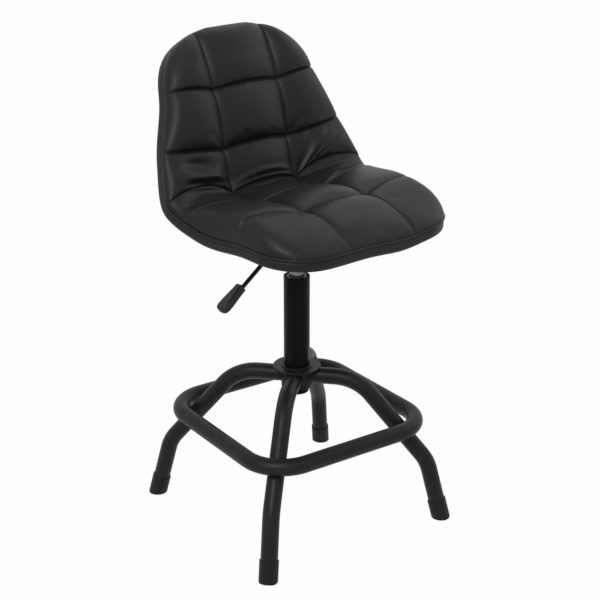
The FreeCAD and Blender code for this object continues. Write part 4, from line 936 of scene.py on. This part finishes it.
def make_grip(settings):
    """Paddle grip: superellipse sections from a slim neck to a wide, round tip.

    The half width grows by a smooth step, and a quarter ellipse closes both ends.
    """
    rows, sides = 44, 40
    walk = spaced(rows, 0.9)[:, None] * settings.length
    grown = eased(np.clip(walk / settings.length / 0.8, 0, 1))
    begin = np.sqrt(1 - np.clip(1 - walk / (2.0 * MM), 0, 1) ** 2)

    def half(size, reach):
        """Half of the section's size along the grip, for the reach of its round end."""
        left = np.clip(1 - (settings.length - walk) / reach, 0, 1)
        closing = np.sqrt(np.clip(1 - left ** 2, 0, 1))
        return ((settings.neck / 2 + (size - settings.neck) / 2 * grown) * closing
                * (0.62 + 0.38 * begin))

    turn = np.linspace(0, 2 * np.pi, sides, endpoint=False)[None]
    across, upward = (np.sign(wave) * np.abs(wave) ** 0.32
                      for wave in (np.cos(turn), np.sin(turn)))
    across = across * half(settings.width, settings.width * 0.48)
    upward = upward * half(settings.height, 5.5 * MM)
    fall = np.array([math.cos(settings.slope), 0.0, math.sin(settings.slope)])
    upright = np.array([-fall[2], 0.0, fall[0]])
    sideways = np.array([0.0, 1.0, 0.0])
    tip, lean = math.cos(settings.roll), math.sin(settings.roll)
    points = np.array(settings.root) - walk[..., None] * fall
    points = points + upward[..., None] * (tip * upright - lean * sideways)
    points = points + across[..., None] * (tip * sideways + lean * upright)
    first, last = (np.repeat(points[k].mean(0)[None], sides, 0)[None] for k in (0, -1))
    points = np.concatenate([first, points, last])
    return merged(mesh_object("paddle_grip", points,
                              grid_quads(rows + 2, sides, close_columns=True)))


def make_crimp(settings):
    """Crimped lip of the column: its inner edge and its top wave, one tooth after another."""
    turns, rings = settings.crimps * 10, 16
    turn = np.linspace(0, 2 * np.pi, turns, endpoint=False)[None]
    tooth = (0.5 + 0.5 * np.cos(turn * settings.crimps)) ** 1.4
    round_it = np.linspace(0, 2 * np.pi, rings, endpoint=False)[:, None]
    reach = 0.7 * MM + 2.3 * MM * tooth
    centre = settings.column_radius - reach - 0.05 * MM
    radius = centre + reach * np.cos(round_it)
    height = settings.column_top + 0.1 * MM + (0.6 * MM + 0.5 * MM * tooth) * np.sin(round_it)
    points = np.stack([radius * np.cos(turn), radius * np.sin(turn),
                       np.broadcast_to(height, radius.shape)], -1)
    return merged(mesh_object("column_crimp", points, grid_quads(rings, turns, True, True)))


# operators


def finishes():
    return bpy.context.scene.stool_finish


def dress(material, *nodes):
    """Give CAD pieces a finish, on the slots that they have."""
    for node in nodes:
        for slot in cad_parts[node].material_slots:
            slot.material = material


class STOOL_OT_cushion(bpy.types.Operator):
    """Make the quilted cushion with its seams, puckers and folds"""

    bl_idname = "stool.cushion"
    bl_label = "Quilted cushion"

    def execute(self, context):
        form = SeatForm(context.scene.stool_seat)
        cushion = make_cushion(form)
        cushion.data.materials.append(leather_material(finishes().leather))
        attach(cushion, "seat")
        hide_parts("seat_cushion")
        return {"FINISHED"}


class STOOL_OT_under_cover(bpy.types.Operator):
    """Make the under cover, its border band, the piping and the stitches"""

    bl_idname = "stool.under_cover"
    bl_label = "Under cover and trim"

    def execute(self, context):
        form = SeatForm(context.scene.stool_seat)
        leather = bpy.data.materials["quilted_leather"]
        thread = thread_material(finishes().leather)
        cover = make_under_cover(form)
        cover.data.materials.append(leather)
        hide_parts("under_cover")
        piping = make_piping(form)
        piping.data.materials.append(leather)
        path, s = rim_path(form, 1440, 0.0, -GROOVE_DROP, 0.0)
        start = int(np.argmax(s > form.seams[3]))
        round_pan = np.arange(-start, start)
        stitches = make_stitches(path[round_pan], outward_normals(path)[round_pan],
                                 form.set.stitch_pitch)
        stitches.data.materials.append(thread)
        for made in (cover, piping, stitches):
            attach(made, "seat")
        return {"FINISHED"}


class STOOL_OT_frame(bpy.types.Operator):
    """Finish the tubes, the hub, the welds and the feet"""

    bl_idname = "stool.frame"
    bl_label = "Painted frame"

    def execute(self, context):
        dress(powder_material(finishes().powder_coat), *[f"leg_{p}" for p in PLACES],
              "foot_ring", "hub_tube", "hub_collar")
        dress(weld_material(finishes().powder_coat), "ring_welds", "ring_seam_weld")
        dress(moulded_material("foot_rubber_moulded", finishes().rubber, 0.55, 1400.0, 0.3),
              *[f"foot_cap_{p}" for p in PLACES])
        return {"FINISHED"}


class STOOL_OT_lift(bpy.types.Operator):
    """Finish the gas lift and its bearing"""

    bl_idname = "stool.lift"
    bl_label = "Gas lift"

    def execute(self, context):
        dress(enamel_material(finishes().enamel), "outer_column")
        steel = finishes().steel
        dress(ground_steel_material("ground_steel", steel, (12.0, 12.0, 5200.0)),
              "lift_cylinder", "piston_rod")
        dress(ground_steel_material("satin_steel", steel, (900.0, 900.0, 900.0)),
              "rod_clip", "bearing_washer_lower", "bearing_washer_upper", "bearing_balls",
              "release_button")
        dress(cast_alloy_material(), "piston", "cylinder_gland")
        dress(moulded_material("bush_plastic", (0.24, 0.24, 0.25), 0.42, 1100.0, 0.2),
              "guide_bush", "bearing_cage")
        dress(bpy.data.materials["foot_rubber_moulded"], "rubber_bumper")
        crimp = make_crimp(context.scene.stool_trim)
        crimp.data.materials.append(bpy.data.materials["column_enamel"])
        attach(crimp, "base")
        return {"FINISHED"}


class STOOL_OT_mechanism(bpy.types.Operator):
    """Finish the plate, the socket and the release lever"""

    bl_idname = "stool.mechanism"
    bl_label = "Mechanism and lever"

    def execute(self, context):
        dress(bpy.data.materials["powder_coat"], "seat_plate", "mechanism_channel",
              "cone_socket", "pivot_lug_front", "pivot_lug_rear", "lever_rod")
        dress(bpy.data.materials["satin_steel"], "lever_pin", "plate_bolts", "bolt_washers",
              "tee_nuts")
        grip = make_grip(context.scene.stool_trim)
        grip.data.materials.append(
            moulded_material("grip_moulding", (0.016, 0.016, 0.0165), 0.42, 1500.0, 0.15))
        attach(grip, "lever")
        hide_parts("lever_grip")
        dress(plywood_material(), "seat_shell")
        return {"FINISHED"}


def light(name, place, target, size, power):
    """A square soft light that faces its target."""
    lamp = bpy.data.lights.new(name, "AREA")
    lamp.shape, lamp.size, lamp.energy = "SQUARE", size, power
    owner = bpy.data.objects.new(name, lamp)
    aim = np.array(target) - np.array(place)
    owner.location = place
    owner.rotation_euler = (math.acos(-aim[2] / np.linalg.norm(aim)), 0,
                            math.atan2(aim[1], aim[0]) - math.pi / 2)
    bpy.context.scene.collection.objects.link(owner)


class STOOL_OT_stage(bpy.types.Operator):
    """Set the floor, the lights, the white surround and the camera"""

    bl_idname = "stool.stage"
    bl_label = "Stage"

    def execute(self, context):
        scene, stage = context.scene, context.scene.stool_stage
        corners = np.array([[-1, -1, 0], [1, -1, 0], [1, 1, 0], [-1, 1, 0]]) * FLOOR_REACH
        floor = mesh_object("floor", corners - [0, 0, 0.0002], np.array([[0, 1, 2, 3]]),
                            smooth=False)
        place = Surface("floor_paper", Roughness=0.9, Specular_IOR_Level=0.0)
        mottle = noise(place, 3.0, 2.0)
        floor.data.materials.append(
            place.feed(Base_Color=mottle.shades(stage.floor, 0.985, 1.0)))
        seen, glossy = (place.node("ShaderNodeLightPath", out=k) for k in (0, 3))
        glow = place.node("ShaderNodeEmission", Color=(1, 1, 1, 1), Strength=1.0)
        share = seen.maths("MINIMUM", seen + glossy, 1.0) * FLOOR_GLOW
        lit = Wire(place.tree, place.shader.outputs[0])
        both = place.node("ShaderNodeMixShader", _0=share, _1=lit, _2=glow)
        place.tree.links.new(both.socket,
                             place.tree.nodes["Material Output"].inputs["Surface"])
        world = bpy.data.worlds.new("surround")
        world.use_nodes = True
        scene.world = world
        sky = Wire(world.node_tree, None)
        seen, glossy, through_glass = (sky.node("ShaderNodeLightPath", out=k)
                                       for k in (0, 3, 6))
        white = seen.maths("MINIMUM", seen + glossy + through_glass, 1.0)
        strength = stage.world + white * (1.0 - stage.world)
        back = world.node_tree.nodes["Background"]
        back.inputs["Color"].default_value = (1, 1, 1, 1)
        world.node_tree.links.new(strength.socket, back.inputs["Strength"])
        for lamp in LAMPS:
            light(*lamp)
        lens = bpy.data.cameras.new("photo_camera")
        lens.lens, lens.sensor_width = stage.lens, 36.0
        camera = bpy.data.objects.new("photo_camera", lens)
        camera.location = stage.eye
        camera.rotation_euler = (stage.pitch, 0.0, stage.turn)
        scene.collection.objects.link(camera)
        scene.camera = camera
        scene.view_settings.view_transform = "Standard"
        return {"FINISHED"}


OPERATORS = (STOOL_OT_stage, STOOL_OT_cushion, STOOL_OT_under_cover, STOOL_OT_frame,
             STOOL_OT_lift, STOOL_OT_mechanism)


class STOOL_PT_panel(bpy.types.Panel):
    """The stool's pieces and settings in the sidebar"""

    bl_idname = "STOOL_PT_panel"
    bl_label = "Machinist stool"
    bl_space_type = "VIEW_3D"
    bl_region_type = "UI"
    bl_category = "Stool"

    def draw(self, context):
        for settings in (context.scene.stool_seat, context.scene.stool_trim,
                         context.scene.stool_finish, context.scene.stool_stage):
            box = self.layout.box()
            for key in settings.__annotations__:
                box.prop(settings, key)
        for operator in OPERATORS:
            self.layout.operator(operator.bl_idname)


SETTINGS = {"stool_seat": StoolSeatSettings, "stool_trim": StoolTrimSettings,
            "stool_finish": StoolFinishSettings, "stool_stage": StoolStageSettings}


def register():
    for group in (*SETTINGS.values(), *OPERATORS, STOOL_PT_panel):
        bpy.utils.register_class(group)
    for name, group in SETTINGS.items():
        setattr(bpy.types.Scene, name, bpy.props.PointerProperty(type=group))


def unregister():
    for name in SETTINGS:
        delattr(bpy.types.Scene, name)
    for group in (STOOL_PT_panel, *reversed(OPERATORS), *SETTINGS.values()):
        bpy.utils.unregister_class(group)


def main():
    register()
    for operator in OPERATORS:
        group, name = operator.bl_idname.split(".")
        getattr(getattr(bpy.ops, group), name)()


if __name__ == "__main__":
    main()
